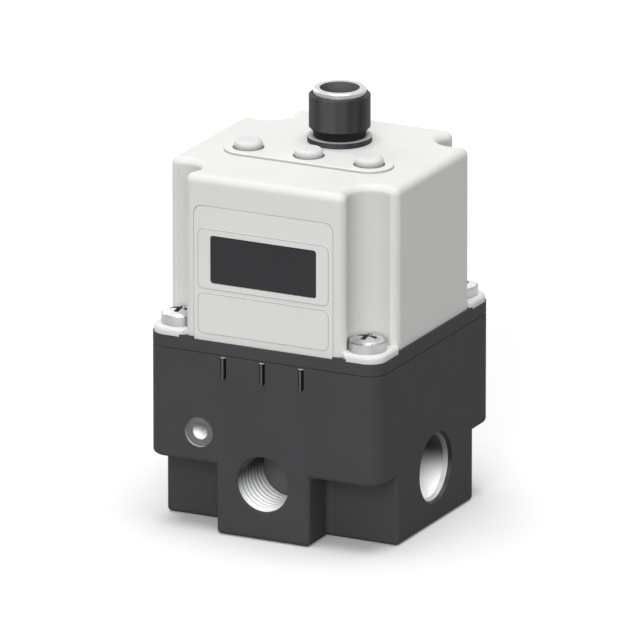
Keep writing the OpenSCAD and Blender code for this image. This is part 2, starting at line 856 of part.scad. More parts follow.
// Quarter of the cover's solid form: upright walls, rounded top edge and one corner scallop
module cover_quarter() {
    shoulder = cover_h - cover_r;
    front_mid = [0, front_round[1]];
    side_mid = [side_round[0], 0];
    difference() {
        linear_extrude(cover_h)
            polygon([[0, 0], front_mid, front_round, scallop_at, side_round, side_mid]);
        translate([scallop_at[0], scallop_at[1], -sink])
            rotate_extrude()
                difference() {
                    square([touch_r, cover_h + 2 * sink]);
                    translate([scallop_r, 0])
                        square([cover_r, shoulder + sink]);
                    translate([touch_r, shoulder + sink])
                        circle(r = cover_r);
                }
    }
    translate([front_round[0], front_round[1], 0])
        mirror([1, -1, 0])
            rotate_extrude(angle = 90 - front_turn)
                edge_section(cover_r, cover_h, 0, cover_r);
    translate([side_round[0], side_round[1], 0])
        rotate_extrude(angle = side_turn)
            edge_section(cover_r, cover_h, 0, cover_r);
    translate([0, front_round[1], 0])
        rotate([90, 0, 90])
            linear_extrude(front_round[0])
                edge_section(cover_r, cover_h, 0, cover_r);
    translate([side_round[0], side_round[1], 0])
        rotate([90, 0, 0])
            linear_extrude(side_round[1])
                edge_section(cover_r, cover_h, 0, cover_r);
}

// Plan of the cover at a distance inside its walls
module cover_plan(inset) {
    difference() {
        square(2 * (cover_half - inset), center = true);
        for (sx = [-1, 1], sy = [-1, 1])
            translate([sx * scallop_at[0], sy * scallop_at[1]])
                circle(r = scallop_r + inset);
    }
}

// Raised land round the buttons
module button_land() {
    end_x = button_pitch;
    for (sx = [0, 1])
        mirror([sx, 0, 0])
            translate([end_x, button_y, z_top - sink])
                rotate_extrude()
                    edge_section(land_r, land_h + sink, 0, land_edge_r);
    for (turn = [0, 180])
        translate([0, button_y, z_top - sink])
            rotate([0, 0, turn])
                translate([-end_x, 0, 0])
                    rotate([90, 0, 90])
                        linear_extrude(2 * end_x)
                            edge_section(land_r, land_h + sink, 0, land_edge_r);
}

// Screw pads, let into the plate
module cover_pads() {
    pad_w = body_w - 2 * pad_inset;
    intersection() {
        translate([0, 0, z_pad])
            soft_block(pad_w, pad_w, pad_t, corner_r - pad_inset, 0, pad_r);
        pad_discs(pad_reach, z_pad, pad_t);
    }
}

// Outline of the panel, up from its lower edge
module panel_plan(gap) {
    w = panel_w + 2 * gap;
    h = panel_h + gap;
    translate([0, h / 2])
        soft_rect(w, h, panel_r);
    translate([-w / 2, 0])
        square([w, h / 2]);
}

module cover() {
    color(pale)
        difference() {
            union() {
                difference() {
                    union() {
                        translate([0, 0, z_plate])
                            four_ways()
                                cover_quarter();
                        button_land();
                    }
                    translate([0, 0, z_plate - tiny])
                        linear_extrude(z_roof - z_plate + tiny)
                            cover_plan(wall);
                }
                cover_pads();
                translate([0, 0, z_board])
                    at_corners(post_at[0], post_at[1])
                        cylinder(h = z_roof - z_board + tiny, d = post_d);
            }
            cover_cuts();
        }
}

// Openings in the cover
module cover_cuts() {
    front_plate(y_face - tiny, z_pad, panel_t + tiny)
        panel_plan(panel_gap);
    front_plate(y_face, z_window, wall + tiny)
        soft_rect(window_w, window_h, window_r);
    for (i = [-1, 0, 1])
        translate([i * button_pitch, button_y, z_roof - tiny])
            cylinder(h = z_top, r = button_r + button_gap);
    translate([0, conn_y, z_roof - tiny])
        cylinder(h = z_top, d = stud_d + 2 * fit_gap);
    translate([0, 0, z_pad - tiny])
        at_corners(screw_at, screw_at)
            cylinder(h = pad_t + 2 * tiny, d = screw_d + 2 * loose_gap);
    translate([0, 0, z_head])
        at_corners(screw_at, screw_at)
            cylinder(h = head_side_h + head_dome_h, d = head_d + 2 * fit_gap);
    translate([0, 0, z_board - tiny])
        at_corners(post_at[0], post_at[1])
            cylinder(h = tap_l, d = tap_d + 2 * fit_gap);
}

module cover_gasket() {
    color(rubber)
        translate([0, 0, z_plate])
            linear_extrude(gasket_h)
                difference() {
                    cover_plan(wall + fit_gap);
                    cover_plan(wall + fit_gap + gasket_w);
                }
}

// Front panel and window

module front_panel() {
    color(panel_grey)
        difference() {
            union() {
                front_plate(y_face, z_pad, panel_t)
                    panel_plan(0);
                front_plate(y_face - field_t, z_low_field + low_field_h / 2, panel_t)
                    soft_rect(field_w, low_field_h, field_r);
                front_plate(y_face - field_t, z_window, panel_t)
                    soft_rect(field_w, high_field_h, field_r);
            }
            front_plate(y_face - sink, z_window, panel_t + 2 * sink)
                soft_rect(window_w, window_h, window_r);
        }
}

module display_window() {
    lens_y = y_face - field_t + window_sink;
    color(smoke) {
        front_plate(lens_y, z_window, y_inner - lens_y + tiny)
            soft_rect(window_w - 2 * lens_gap, window_h - 2 * lens_gap, window_r);
        front_plate(y_inner, z_window, window_flange_t)
            soft_rect(window_w + 2 * window_rim, window_h + 2 * window_rim, window_r);
    }
}

// Buttons

// Domed button with a flange that keeps it under the cover's top
module push_button() {
    color(button_grey)
        translate([0, button_y, 0]) {
            translate([0, 0, z_flange])
                rotate_extrude()
                    edge_section(button_r, z_land + button_h - z_flange, 0, button_edge_r);
            translate([0, 0, z_flange])
                cylinder(h = button_flange_t, r = button_flange_r);
            translate([0, 0, z_foot])
                cylinder(h = button_foot_h + tiny, d = plunger_d);
        }
}

module down_button() {
    translate([-button_pitch, 0, 0])
        push_button();
}

module set_button() {
    push_button();
}

module up_button() {
    translate([button_pitch, 0, 0])
        push_button();
}

// Plunger of a switch, under its button
module switch_plunger() {
    color(ink)
        translate([0, button_y, z_case - plunger_in])
            cylinder(h = plunger_h + plunger_in, d = plunger_d);
}

module down_plunger() {
    translate([-button_pitch, 0, 0])
        switch_plunger();
}

module set_plunger() {
    switch_plunger();
}

module up_plunger() {
    translate([button_pitch, 0, 0])
        switch_plunger();
}

module tactile_switches() {
    color(ink)
        for (i = [-1, 0, 1])
            translate([i * button_pitch, button_y, z_board])
                difference() {
                    translate([-switch_w / 2, -switch_w / 2, 0])
                        cube([switch_w, switch_w, switch_h]);
                    translate([0, 0, switch_h - plunger_hole_l])
                        cylinder(h = plunger_hole_l + tiny, d = plunger_d + 2 * loose_gap);
                }
}

// Cover screws

// Pan head cross screw, drawn from the underside of its head
module pan_screw() {
    dome_r = (head_d * head_d / 4 + head_dome_h * head_dome_h) / (2 * head_dome_h);
    head_h = head_side_h + head_dome_h;
    difference() {
        union() {
            intersection() {
                cylinder(h = head_h, d = head_d);
                translate([0, 0, head_h - dome_r])
                    sphere(r = dome_r, $fn = 96);
            }
            translate([0, 0, -screw_l])
                cylinder(h = screw_l + tiny, d = screw_d);
        }
        translate([0, 0, head_h - cross_t])
            intersection() {
                for (turn = [0, 90])
                    rotate([0, 0, turn])
                        translate([-cross_l / 2, -cross_w / 2, 0])
                            cube([cross_l, cross_w, head_h]);
                cylinder(h = cross_t + tiny, d1 = cross_w, d2 = cross_l);
            }
    }
}

module cover_screws() {
    color(plated)
        translate([0, 0, z_head])
            at_corners(screw_at, screw_at)
                pan_screw();
}

// Connector

module connector_flange() {
    color(ink)
        translate([0, conn_y, z_top])
            difference() {
                cylinder(h = flange_t, d = flange_d);
                translate([0, 0, -tiny])
                    cylinder(h = flange_t + 2 * tiny, d = stud_d + 2 * fit_gap);
                translate([0, 0, -tiny])
                    difference() {
                        cylinder(h = 2 * seal_cord_r + tiny, r = seal_ring_r + seal_cord_r + fit_gap);
                        cylinder(h = flange_t, r = seal_ring_r - seal_cord_r - fit_gap);
                    }
            }
}

module connector_o_ring() {
    color(rubber)
        translate([0, conn_y, z_top + seal_cord_r])
            cord_ring(seal_ring_r, seal_cord_r);
}

// Neck, bevelled collar and panel thread, turned in one piece
module connector_shell() {
    color(ink)
        translate([0, conn_y, 0])
            difference() {
                union() {
                    translate([0, 0, z_stud])
                        cylinder(h = z_neck - z_stud + tiny, d = stud_d);
                    translate([0, 0, z_neck])
                        cylinder(h = z_collar - z_neck + collar_bevel, d = neck_d);
                    translate([0, 0, z_collar])
                        cylinder(h = collar_bevel, d1 = collar_d - 2 * collar_bevel, d2 = collar_d);
                    translate([0, 0, z_collar + collar_bevel])
                        cylinder(h = collar_h - collar_top_bevel, d = collar_d);
                    translate([0, 0, z_collar_top - collar_top_bevel])
                        cylinder(h = collar_top_bevel, d1 = collar_d, d2 = collar_d - 2 * collar_top_bevel);
                }
                translate([0, 0, z_stud - tiny])
                    cylinder(h = z_rim, d = sleeve_bore_d);
                translate([0, 0, z_sleeve])
                    cylinder(h = z_rim, d = sleeve_d + 2 * bore_gap);
            }
}

module connector_sleeve() {
    sleeve_bevel = 0.25;
    sleeve_h = z_rim - z_sleeve;
    color(nickel)
        translate([0, conn_y, z_sleeve])
            difference() {
                union() {
                    cylinder(h = sleeve_h - sleeve_bevel, d = sleeve_d);
                    translate([0, 0, sleeve_h - sleeve_bevel])
                        cylinder(h = sleeve_bevel, d1 = sleeve_d, d2 = sleeve_d - 2 * sleeve_bevel);
                }
                translate([0, 0, -tiny])
                    cylinder(h = sleeve_h + 2 * tiny, d = sleeve_bore_d);
            }
}

// Children at the four contact places
module at_contacts() {
    for (turn = [45:90:315])
        translate([0, conn_y, 0])
            rotate([0, 0, turn])
                translate([pin_ring_r, 0, 0])
                    children();
}

module connector_insert() {
    color(rubber)
        difference() {
            translate([0, conn_y, z_stud])
                cylinder(h = z_insert - z_stud, r = insert_r - fit_gap);
            at_contacts()
                cylinder(h = z_rim, d = pin_d + 2 * fit_gap);
        }
}

module contact_pins() {
    z_tip = z_rim - pin_depth;
    color(gold)
        at_contacts()
            translate([0, 0, z_board_low - pin_tail])
                rotate_extrude()
                    edge_section(pin_d / 2, z_tip - z_board_low + pin_tail, 0, pin_d / 4);
}

module connector_nut() {
    color(nickel)
        translate([0, conn_y, z_roof - nut_t])
            difference() {
                cylinder(h = nut_t, d = nut_w / cos(30), $fn = 6);
                translate([0, 0, -tiny])
                    cylinder(h = nut_t + 2 * tiny, d = stud_d + 2 * fit_gap);
            }
}

// Electronics

module control_board() {
    color(board_green)
        difference() {
            union() {
                translate([0, 0, z_board_low])
                    linear_extrude(board_t)
                        soft_rect(board_w, board_d, board_r);
                translate([-tongue_w / 2, -board_d / 2 - tongue_d, z_board_low])
                    cube([tongue_w, tongue_d + sink, board_t]);
            }
            at_contacts()
                cylinder(h = z_rim, d = pin_d + 2 * fit_gap);
            translate([0, 0, z_board_low - tiny])
                at_corners(post_at[0], post_at[1])
                    cylinder(h = board_t + 2 * tiny, d = tap_d + 2 * loose_gap);
            at_terminals()
                cylinder(h = z_rim, d = terminal_d + 2 * fit_gap);
        }
}

// Children at the solenoids' terminal places
module at_terminals() {
    for (sx = [-1, 1], st = [-1, 1])
        translate([sx * solenoid_pitch / 2 + st * terminal_pitch / 2, terminal_y, 0])
            children();
}

module board_screws() {
    color(steel)
        translate([0, 0, z_board_low])
            at_corners(post_at[0], post_at[1]) {
                translate([0, 0, -board_screw_head_t / 2])
                    cylinder(h = board_screw_head_t / 2 + board_screw_l, d = tap_d);
                translate([0, 0, -board_screw_head_t])
                    cylinder(h = board_screw_head_t, d = board_screw_head_d);
            }
}

module display_board() {
    color(board_green)
        translate([-display_board_w / 2, y_display, z_board_low - display_board_h])
            cube([display_board_w, board_t, display_board_h]);
}

module display_module() {
    color(ink)
        translate([-module_w / 2, y_module, z_window - module_h / 2])
            cube([module_w, module_t, module_h]);
}

module board_header() {
    color(ink)
        translate([-header_w / 2, y_display_back, z_board_low - header_h])
            cube([header_w, header_d, header_h]);
}

module pressure_sensor() {
    color(cream) {
        translate([-sensor_w / 2, y_display_back, z_sensor])
            cube([sensor_w, sensor_d, sensor_h]);
        translate([0, sensor_y, z_deck - nipple_in])
            cylinder(h = nipple_in + z_sensor - z_deck + tiny, d = nipple_d);
    }
}

module sensor_o_ring() {
    color(rubber)
        translate([0, sensor_y, z_deck - sensor_cord_r])
            cord_ring(sensor_ring_r + fit_gap / 2, sensor_cord_r);
}

// Solenoid pilot valve: base, coil and two terminals
module solenoid(side) {
    valve_x = side * solenoid_pitch / 2;
    color(cream)
        difference() {
            union() {
                translate([valve_x, solenoid_y, z_gasket])
                    soft_block(solenoid_w, solenoid_d, solenoid_base_h, case_r, 0, case_edge_r);
                translate([valve_x, solenoid_y, z_coil - sink])
                    soft_block(coil_w, coil_d, coil_h + sink, coil_r, 0, coil_edge_r);
                for (st = [-1, 1])
                    translate([valve_x + st * terminal_pitch / 2, terminal_y, z_coil_top - sink])
                        cylinder(h = terminal_l + sink, d = terminal_d);
            }
            for (sy = [-1, 1])
                translate([valve_x, solenoid_y + sy * solenoid_screw_y, 0])
                    cylinder(h = z_rim, d = solenoid_screw_d + 2 * loose_gap);
        }
}

module supply_solenoid() {
    solenoid(1);
}

module exhaust_solenoid() {
    solenoid(-1);
}

module solenoid_gaskets() {
    color(rubber)
        for (sx = [-1, 1])
            translate([sx * solenoid_pitch / 2, solenoid_y, z_deck])
                linear_extrude(gasket_t)
                    difference() {
                        soft_rect(solenoid_w, solenoid_d, case_r);
                        for (y = [-solenoid_screw_y, solenoid_screw_y])
                            translate([0, y])
                                circle(d = solenoid_screw_d + 2 * loose_gap);
                        for (y = [-pilot_near, pilot_far])
                            translate([0, y])
                                circle(d = pilot_hole_d);
                    }
}

module solenoid_screws() {
    color(steel)
        for (sx = [-1, 1], sy = [-1, 1])
            translate([sx * solenoid_pitch / 2, solenoid_y + sy * solenoid_screw_y, z_coil]) {
                cylinder(h = solenoid_screw_head_t, d = solenoid_screw_head_d);
                translate([0, 0, -solenoid_base_h - gasket_t - solenoid_screw_in + screw_end_gap])
                    cylinder(h = solenoid_base_h + gasket_t + solenoid_screw_in, d = solenoid_screw_d);
            }
}

// Diaphragm and its stem

// Clamped rim, round roll and flat middle, turned as one section
module diaphragm() {
    roll_r = (active_r - disc_r) / 2;
    roll_at = (active_r + disc_r) / 2;
    color(rubber)
        translate([0, 0, z_clamp])
            rotate_extrude()
                difference() {
                    union() {
                        translate([stem_thread_d / 2 + fit_gap, 0])
                            square([diaphragm_r - stem_thread_d / 2 - fit_gap, diaphragm_t]);
                        translate([roll_at, 0])
                            circle(r = roll_r);
                    }
                    translate([roll_at, diaphragm_t])
                        circle(r = roll_r);
                    translate([roll_at - roll_r, diaphragm_t])
                        square([2 * roll_r, 2 * roll_r]);
                }
}

module upper_disc() {
    color(steel)
        translate([0, 0, z_seam])
            difference() {
                cylinder(h = disc_t, r = disc_r);
                translate([0, 0, -tiny])
                    cylinder(h = disc_t + 2 * tiny, d = stem_thread_d + 2 * fit_gap);
            }
}

module lower_disc() {
    color(steel)
        translate([0, 0, z_disc])
            difference() {
                cylinder(h = disc_t, r = disc_r);
                translate([0, 0, -tiny])
                    cylinder(h = disc_t + 2 * tiny, d = stem_thread_d + 2 * fit_gap);
            }
}

module valve_stem() {
    color(brass) {
        translate([0, 0, z_stem])
            cylinder(h = z_disc - z_stem, d = stem_d);
        translate([0, 0, z_disc - sink])
            cylinder(h = sink + 2 * disc_t + diaphragm_t + stem_nut_t + stem_over, d = stem_thread_d);
    }
}

module stem_nut() {
    color(steel)
        translate([0, 0, z_seam + disc_t])
            difference() {
                cylinder(h = stem_nut_t, d = stem_nut_w / cos(30), $fn = 6);
                translate([0, 0, -tiny])
                    cylinder(h = stem_nut_t + 2 * tiny, d = stem_thread_d + 2 * fit_gap);
            }
}

// Supply valve and what guides it

// Head, raised nose under the stem and hollow tail
module supply_valve() {
    color(brass)
        difference() {
            union() {
                translate([0, 0, z_valve])
                    cylinder(h = valve_t, r = valve_r);
                translate([0, 0, z_tail])
                    cylinder(h = z_stem - z_tail, d = tail_d);
            }
            cylinder(h = z_seam, d = vent_d);
        }
}

// Point of the valve spring's middle line
function coil_point(turn, z_low, z_high) =
    let (share = turn / (360 * spring_turns))
    [spring_r * cos(turn), spring_r * sin(turn), z_low + share * (z_high - z_low)];

module valve_spring() {
    sides = 8;
    step = 20;
    z_low = z_plug_top + wire_d / 2 + fit_gap / 2;
    z_high = z_valve - wire_d / 2 - fit_gap / 2;
    rings = 360 * spring_turns / step;
    wire_r = wire_d / 2;
    points = [
        for (i = [0:rings], k = [0:sides - 1])
            let (
                turn = i * step,
                p = coil_point(turn, z_low, z_high),
                out = wire_r * cos(360 * k / sides)
            )
            p + [out * cos(turn), out * sin(turn), wire_r * sin(360 * k / sides)]
    ];
    walls = [
        for (i = [0:rings - 1], k = [0:sides - 1])
            let (n = (k + 1) % sides)
            [i * sides + k, (i + 1) * sides + k, (i + 1) * sides + n, i * sides + n]
    ];
    first = [for (k = [0:sides - 1]) k];
    last = [for (k = [sides - 1:-1:0]) rings * sides + k];
    color(steel)
        polyhedron(points = points, faces = concat([first], walls, [last]), convexity = 10);
}

// Plug with ring grooves, guide tower and the exhaust way
module bottom_plug() {
    groove_h = 2 * plug_cord_r + 2 * fit_gap;
    color(steel)
        difference() {
            union() {
                translate([0, 0, z_plug])
                    cylinder(h = plug_t, r = plug_r);
                translate([0, 0, z_plug])
                    cylinder(h = z_tower - z_plug, r = tower_r);
            }
            translate([0, 0, z_plug + plug_floor_t])
                cylinder(h = z_tower, r = tail_hole_r);
            for (z = ring_places)
                translate([0, 0, z - groove_h / 2])
                    difference() {
                        cylinder(h = groove_h, r = chamber_r);
                        cylinder(h = groove_h, r = ring_groove_r - fit_gap);
                    }
            translate([0, 0, z_tower - guide_lip - 2 * guide_cord_r])
                cylinder(h = 2 * guide_cord_r + 2 * fit_gap, r = tail_d / 2 + 2 * guide_cord_r + fit_gap);
            translate([0, 0, z_vent - vent_groove_h / 2])
                difference() {
                    cylinder(h = vent_groove_h, r = chamber_r);
                    cylinder(h = vent_groove_h, r = plug_r - vent_groove_t);
                }
            translate([0, 0, z_vent])
                for (turn = [0, 90])
                    rotate([90, 0, turn])
                        translate([0, 0, -chamber_r])
                            cylinder(h = 2 * chamber_r, d = vent_bore_d);
        }
}

module plug_o_rings() {
    color(rubber)
        for (z = ring_places)
            translate([0, 0, z])
                cord_ring(chamber_r - plug_cord_r - fit_gap, plug_cord_r);
}

module guide_o_ring() {
    color(rubber)
        translate([0, 0, z_tower - guide_lip - guide_cord_r + fit_gap])
            cord_ring(tail_d / 2 + guide_cord_r + fit_gap, guide_cord_r);
}

// Open ring with a gap at the back
module retaining_ring() {
    clip_gap = 30;
    clip_w = 2.2;
    color(steel)
        translate([0, 0, clip_z + fit_gap / 2])
            rotate([0, 0, 90 + clip_gap / 2])
                rotate_extrude(angle = 360 - clip_gap)
                    translate([chamber_r + clip_bite - clip_w, 0])
                        square([clip_w, clip_t]);
}

main_body();
pilot_plate();
cover();
front_panel();
display_window();
down_button();
set_button();
up_button();
cover_screws();
cover_gasket();
connector_flange();
connector_shell();
connector_sleeve();
connector_insert();
connector_o_ring();
connector_nut();
contact_pins();
control_board();
board_screws();
display_board();
display_module();
board_header();
tactile_switches();
down_plunger();
set_plunger();
up_plunger();
supply_solenoid();
exhaust_solenoid();
solenoid_gaskets();
solenoid_screws();
pressure_sensor();
sensor_o_ring();
diaphragm();
upper_disc();
lower_disc();
valve_stem();
stem_nut();
supply_valve();
valve_spring();
bottom_plug();
plug_o_rings();
guide_o_ring();
retaining_ring();
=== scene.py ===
"""Finishes, threads and fine lines for the solids of an electro pneumatic regulator, on a plain stage."""

import json
import math

import bmesh
import bpy
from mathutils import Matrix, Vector


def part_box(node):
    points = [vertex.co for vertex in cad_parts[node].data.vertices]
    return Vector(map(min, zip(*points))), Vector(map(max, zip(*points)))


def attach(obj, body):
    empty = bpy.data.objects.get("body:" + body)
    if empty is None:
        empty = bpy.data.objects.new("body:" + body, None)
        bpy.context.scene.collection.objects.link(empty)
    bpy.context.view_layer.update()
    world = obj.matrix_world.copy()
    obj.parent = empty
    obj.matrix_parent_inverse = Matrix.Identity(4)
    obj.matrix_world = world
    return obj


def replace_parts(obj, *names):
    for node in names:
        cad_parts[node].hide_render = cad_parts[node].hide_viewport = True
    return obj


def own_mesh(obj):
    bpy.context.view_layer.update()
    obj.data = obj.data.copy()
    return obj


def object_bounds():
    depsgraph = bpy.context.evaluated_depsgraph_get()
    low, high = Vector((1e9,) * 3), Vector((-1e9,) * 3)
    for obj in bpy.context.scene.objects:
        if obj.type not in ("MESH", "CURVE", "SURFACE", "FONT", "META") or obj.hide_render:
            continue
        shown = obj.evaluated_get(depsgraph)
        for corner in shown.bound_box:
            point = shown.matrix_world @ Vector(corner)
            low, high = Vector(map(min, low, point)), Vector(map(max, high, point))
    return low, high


bl_info = {
    "name": "Electro Pneumatic Regulator",
    "version": (1, 0, 0),
    "blender": (4, 5, 0),
    "location": "3D View > Sidebar > Regulator",
    "description": "Finishes, port threads and panel lines for a pneumatic regulator, with a studio stage",
    "category": "Object",
}

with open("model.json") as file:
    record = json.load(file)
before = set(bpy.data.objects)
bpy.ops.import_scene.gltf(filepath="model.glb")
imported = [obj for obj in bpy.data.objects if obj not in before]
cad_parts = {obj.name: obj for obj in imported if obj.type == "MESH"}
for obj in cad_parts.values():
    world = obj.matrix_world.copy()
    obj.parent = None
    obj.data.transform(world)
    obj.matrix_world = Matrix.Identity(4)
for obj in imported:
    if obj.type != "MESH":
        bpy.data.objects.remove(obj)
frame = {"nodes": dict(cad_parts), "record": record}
CAD_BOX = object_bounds()
NODES = frame["nodes"]
MM = 0.001
FULL_TURN = 2 * math.pi
LININGS = "port_linings"

# Slack in the tests for where a face lies, wide and close
SLACK = 0.05 * MM
CLOSE_SLACK = 0.01 * MM

# Depths and reaches of the body's cut faces
SIDE_PORT_DEPTH = 12 * MM
SEAT_RING = 0.45 * MM
MOUTH_BEVEL = 0.7 * MM
MOUTH_BEVEL_REACH = 0.9 * MM
FRONT_PORT_DEPTH = 11.5 * MM
FRONT_FLOOR_REACH = 0.3 * MM
BLEED_PORT_DEPTH = 14.5 * MM
SPOT_FACE_R = 3.0 * MM
SPOT_FACE_DEPTH = 0.6 * MM
RIB_TOP_DROP = 0.5 * MM
BRACKET_HOLE_DEPTH = 7 * MM

# Places and sizes of the cover's land and scallops, and of the buttons' rounded tops, which bound the
# painted shade
LAND_RISE = 0.54 * MM
SCALLOP_X = 20.55 * MM
SCALLOP_Y = 19.82 * MM
SCALLOP_R = 4.4 * MM
SCALLOP_SLACK = 0.2 * MM
BUTTON_CROWN = 0.3 * MM

# Sizes of the cover screws' heads, which bound the painted shade on them
HEAD_R = 3.7 * MM
DOME_HEIGHT = 1.0 * MM
DOME_EDGE = 0.25 * MM
CROSS_R = 2.45 * MM
CROSS_DEPTH = 1.75 * MM
CROSS_RIM = 0.6 * MM

# How far a face points along an axis: 1 faces along it and 0 stands square to it
FACING = 0.9
SIDE_FLAT = 0.95
LAND_TOP = 0.7
SLEEVE_RIM = 0.5
RIB_FLANK = 0.35
UPRIGHT = 0.3
SEAT_SLOPE = 0.2

# Spans of a cloudy pattern's values over which gloss and colour vary, and the span of a plain share
GLOSS_SPAN = (0.25, 0.75)
COLOUR_SPAN = (0.3, 0.7)
WHOLE_SPAN = (0.0, 1.0)

# Wave texture: length of a wave at scale 1, and how far a tool's lines wander
WAVE_LENGTH = 0.314
LINE_WANDER = 0.8
LINE_DETAIL = 1.5

# Thin linings of the ports: gap to the bore, wall, and share of a pitch over which a thread runs out
LINING_GAP = 0.012 * MM
LINING_WALL = 0.048 * MM
RUN_OUT = 0.4

# Share of the spring's rise that is even all along, and the edge angle that stays sharp on a piece
EVEN_RISE = 0.65
SHARP_ANGLE = math.radians(35)

# Floor: share of the light that it sends to the camera, and its gap below the part
FLOOR_WHITE = 0.99
FLOOR_GAP = 0.05 * MM


def mount(name):
    """Place and sizes of one of the record's mounts."""
    for found in frame["record"]["mounts"]:
        if found["name"] == name:
            return found
    raise RuntimeError(f"the record has no mount named {name}")


def port(name):
    """Place and radius of the bore at one of the record's mounts, in metres."""
    found = mount(name)
    return Vector(found["pos_m"]), found["dims"]["r_mm"] * MM


def tone(code):
    """Linear colour of a screen colour such as 3f3f41, by the standard screen curve."""
    shares = [int(code[i:i + 2], 16) / 255 for i in (0, 2, 4)]
    return tuple(s / 12.92 if s <= 0.04045 else ((s + 0.055) / 1.055) ** 2.4 for s in shares)


def tint(base, share):
    """Darker or lighter tint of a colour."""
    return [c * share for c in base]


def colour(name, description, code):
    """Colour property for a finish."""
    return bpy.props.FloatVectorProperty(
        name=name, description=description, subtype="COLOR", size=3, min=0, max=1, default=tone(code))


def amount(name, description, default, **limits):
    """Number property."""
    return bpy.props.FloatProperty(name=name, description=description, default=default, **limits)


def length(name, description, default):
    """Length property, in metres."""
    return amount(name, description, default, unit="LENGTH", subtype="DISTANCE", min=0, precision=5)


def turn(name, description, degrees):
    """Angle property, from degrees."""
    return amount(name, description, math.radians(degrees), subtype="ANGLE")


def factor(name, description, default):
    """Property for a share from 0 to 1."""
    return amount(name, description, default, subtype="FACTOR", min=0, max=1)


def direction(name, description, default):
    """Direction property."""
    return bpy.props.FloatVectorProperty(
        name=name, description=description, subtype="DIRECTION", size=3, default=default)


class RegulatorFinishes(bpy.types.PropertyGroup):
    """Colours of the regulator's materials."""

    body: colour("Body paint", "Satin paint of the cast body and the pilot plate", "525254")
    cover: colour("Cover plastic", "Moulded plastic of the hooded cover", "f3f3f0")
    panel: colour("Panel film", "Printed film on the front panel", "f6f6f3")
    hairline: colour("Panel line", "Fine frames printed on the front panel", "bcbcb9")
    window: colour("Window", "Smoked display window", "333436")
    button: colour("Button plastic", "Moulded plastic of the push buttons", "e9ebea")
    machined: colour("Machined metal", "Bare cut metal in the ports", "f2f3f4")
    plated: colour("Plated steel", "Plated screw heads", "ecedee")
    nickel: colour("Nickel", "Bright turned sleeve of the connector", "d8d9da")
    collar: colour("Black metal", "Blackened connector collar", "474749")
    gold: colour("Gold plating", "Contact pins", "d9b45c")
    laminate: colour("Board laminate", "Circuit boards", "2f6b46")
    moulding: colour("Black moulding", "Switches, display module and connector insert", "2a2a2c")
    coil: colour("Coil plastic", "Solenoid valves and pressure sensor", "ddd7c6")
    rubber: colour("Rubber", "Seals, gaskets and the diaphragm", "232325")
    brass: colour("Brass", "Valve stem and supply valve", "c09a4e")
    steel: colour("Steel", "Discs, plug, spring and small screws", "b2b4b6")


class RegulatorDetails(bpy.types.PropertyGroup):
    """Sizes of what is added to the solids."""

    thread_pitch: length("Port thread pitch", "Pitch of the front port's pipe thread", 1.337 * MM)
    thread_depth: length("Port thread depth", "Height of the front port's thread", 0.12 * MM)
    thread_start: length("Port thread start", "Depth in the front port where its thread starts", 0.5 * MM)
    thread_run: length("Port thread length", "Length of the front port's thread", 10.9 * MM)
    bleed_pitch: length("Bleed thread pitch", "Pitch of the bleed port's thread", 0.7 * MM)
    bleed_depth: length("Bleed thread depth", "Height of the bleed port's thread", 0.16 * MM)
    bleed_start: length("Bleed thread start", "Depth in the bleed port where its thread starts", 0.8 * MM)
    bleed_run: length("Bleed thread length", "Length of the bleed port's thread", 9 * MM)
    lining_start: length("Side lining start", "Depth in a side port where its lining starts", 1.5 * MM)
    lining_run: length("Side lining length", "Length of a side port's lining", 10.4 * MM)
    hairline_width: length("Panel line width", "Width of the front panel's fine frames", 0.13 * MM)
    hairline_rise: length("Panel line rise", "How far the fine frames stand out of the panel", 0.012 * MM)
    field_width: length("Field width", "Width of the front panel's two fields", 28.1 * MM)
    upper_field: length("Upper field height", "Height of the field round the window", 12.1 * MM)
    lower_field: length("Lower field height", "Height of the field below the window", 8.2 * MM)
    field_corner: length("Field corner", "Corner radius of the two fields", 1.2 * MM)
    field_margin: length("Field margin", "Gap from the panel's lower edge to the lower field", 1.4 * MM)
    rubber_sheet: length("Diaphragm thickness", "Thickness of the diaphragm's rubber", 1.2 * MM)
    stem_hole: length("Diaphragm hole", "Radius of the hole for the stem in the diaphragm", 1.55 * MM)
    wire: length("Spring wire", "Wire diameter of the valve spring", 1.0 * MM)
    spring_turns: amount("Spring turns", "Turns of the valve spring", 5.0, min=2, max=12)


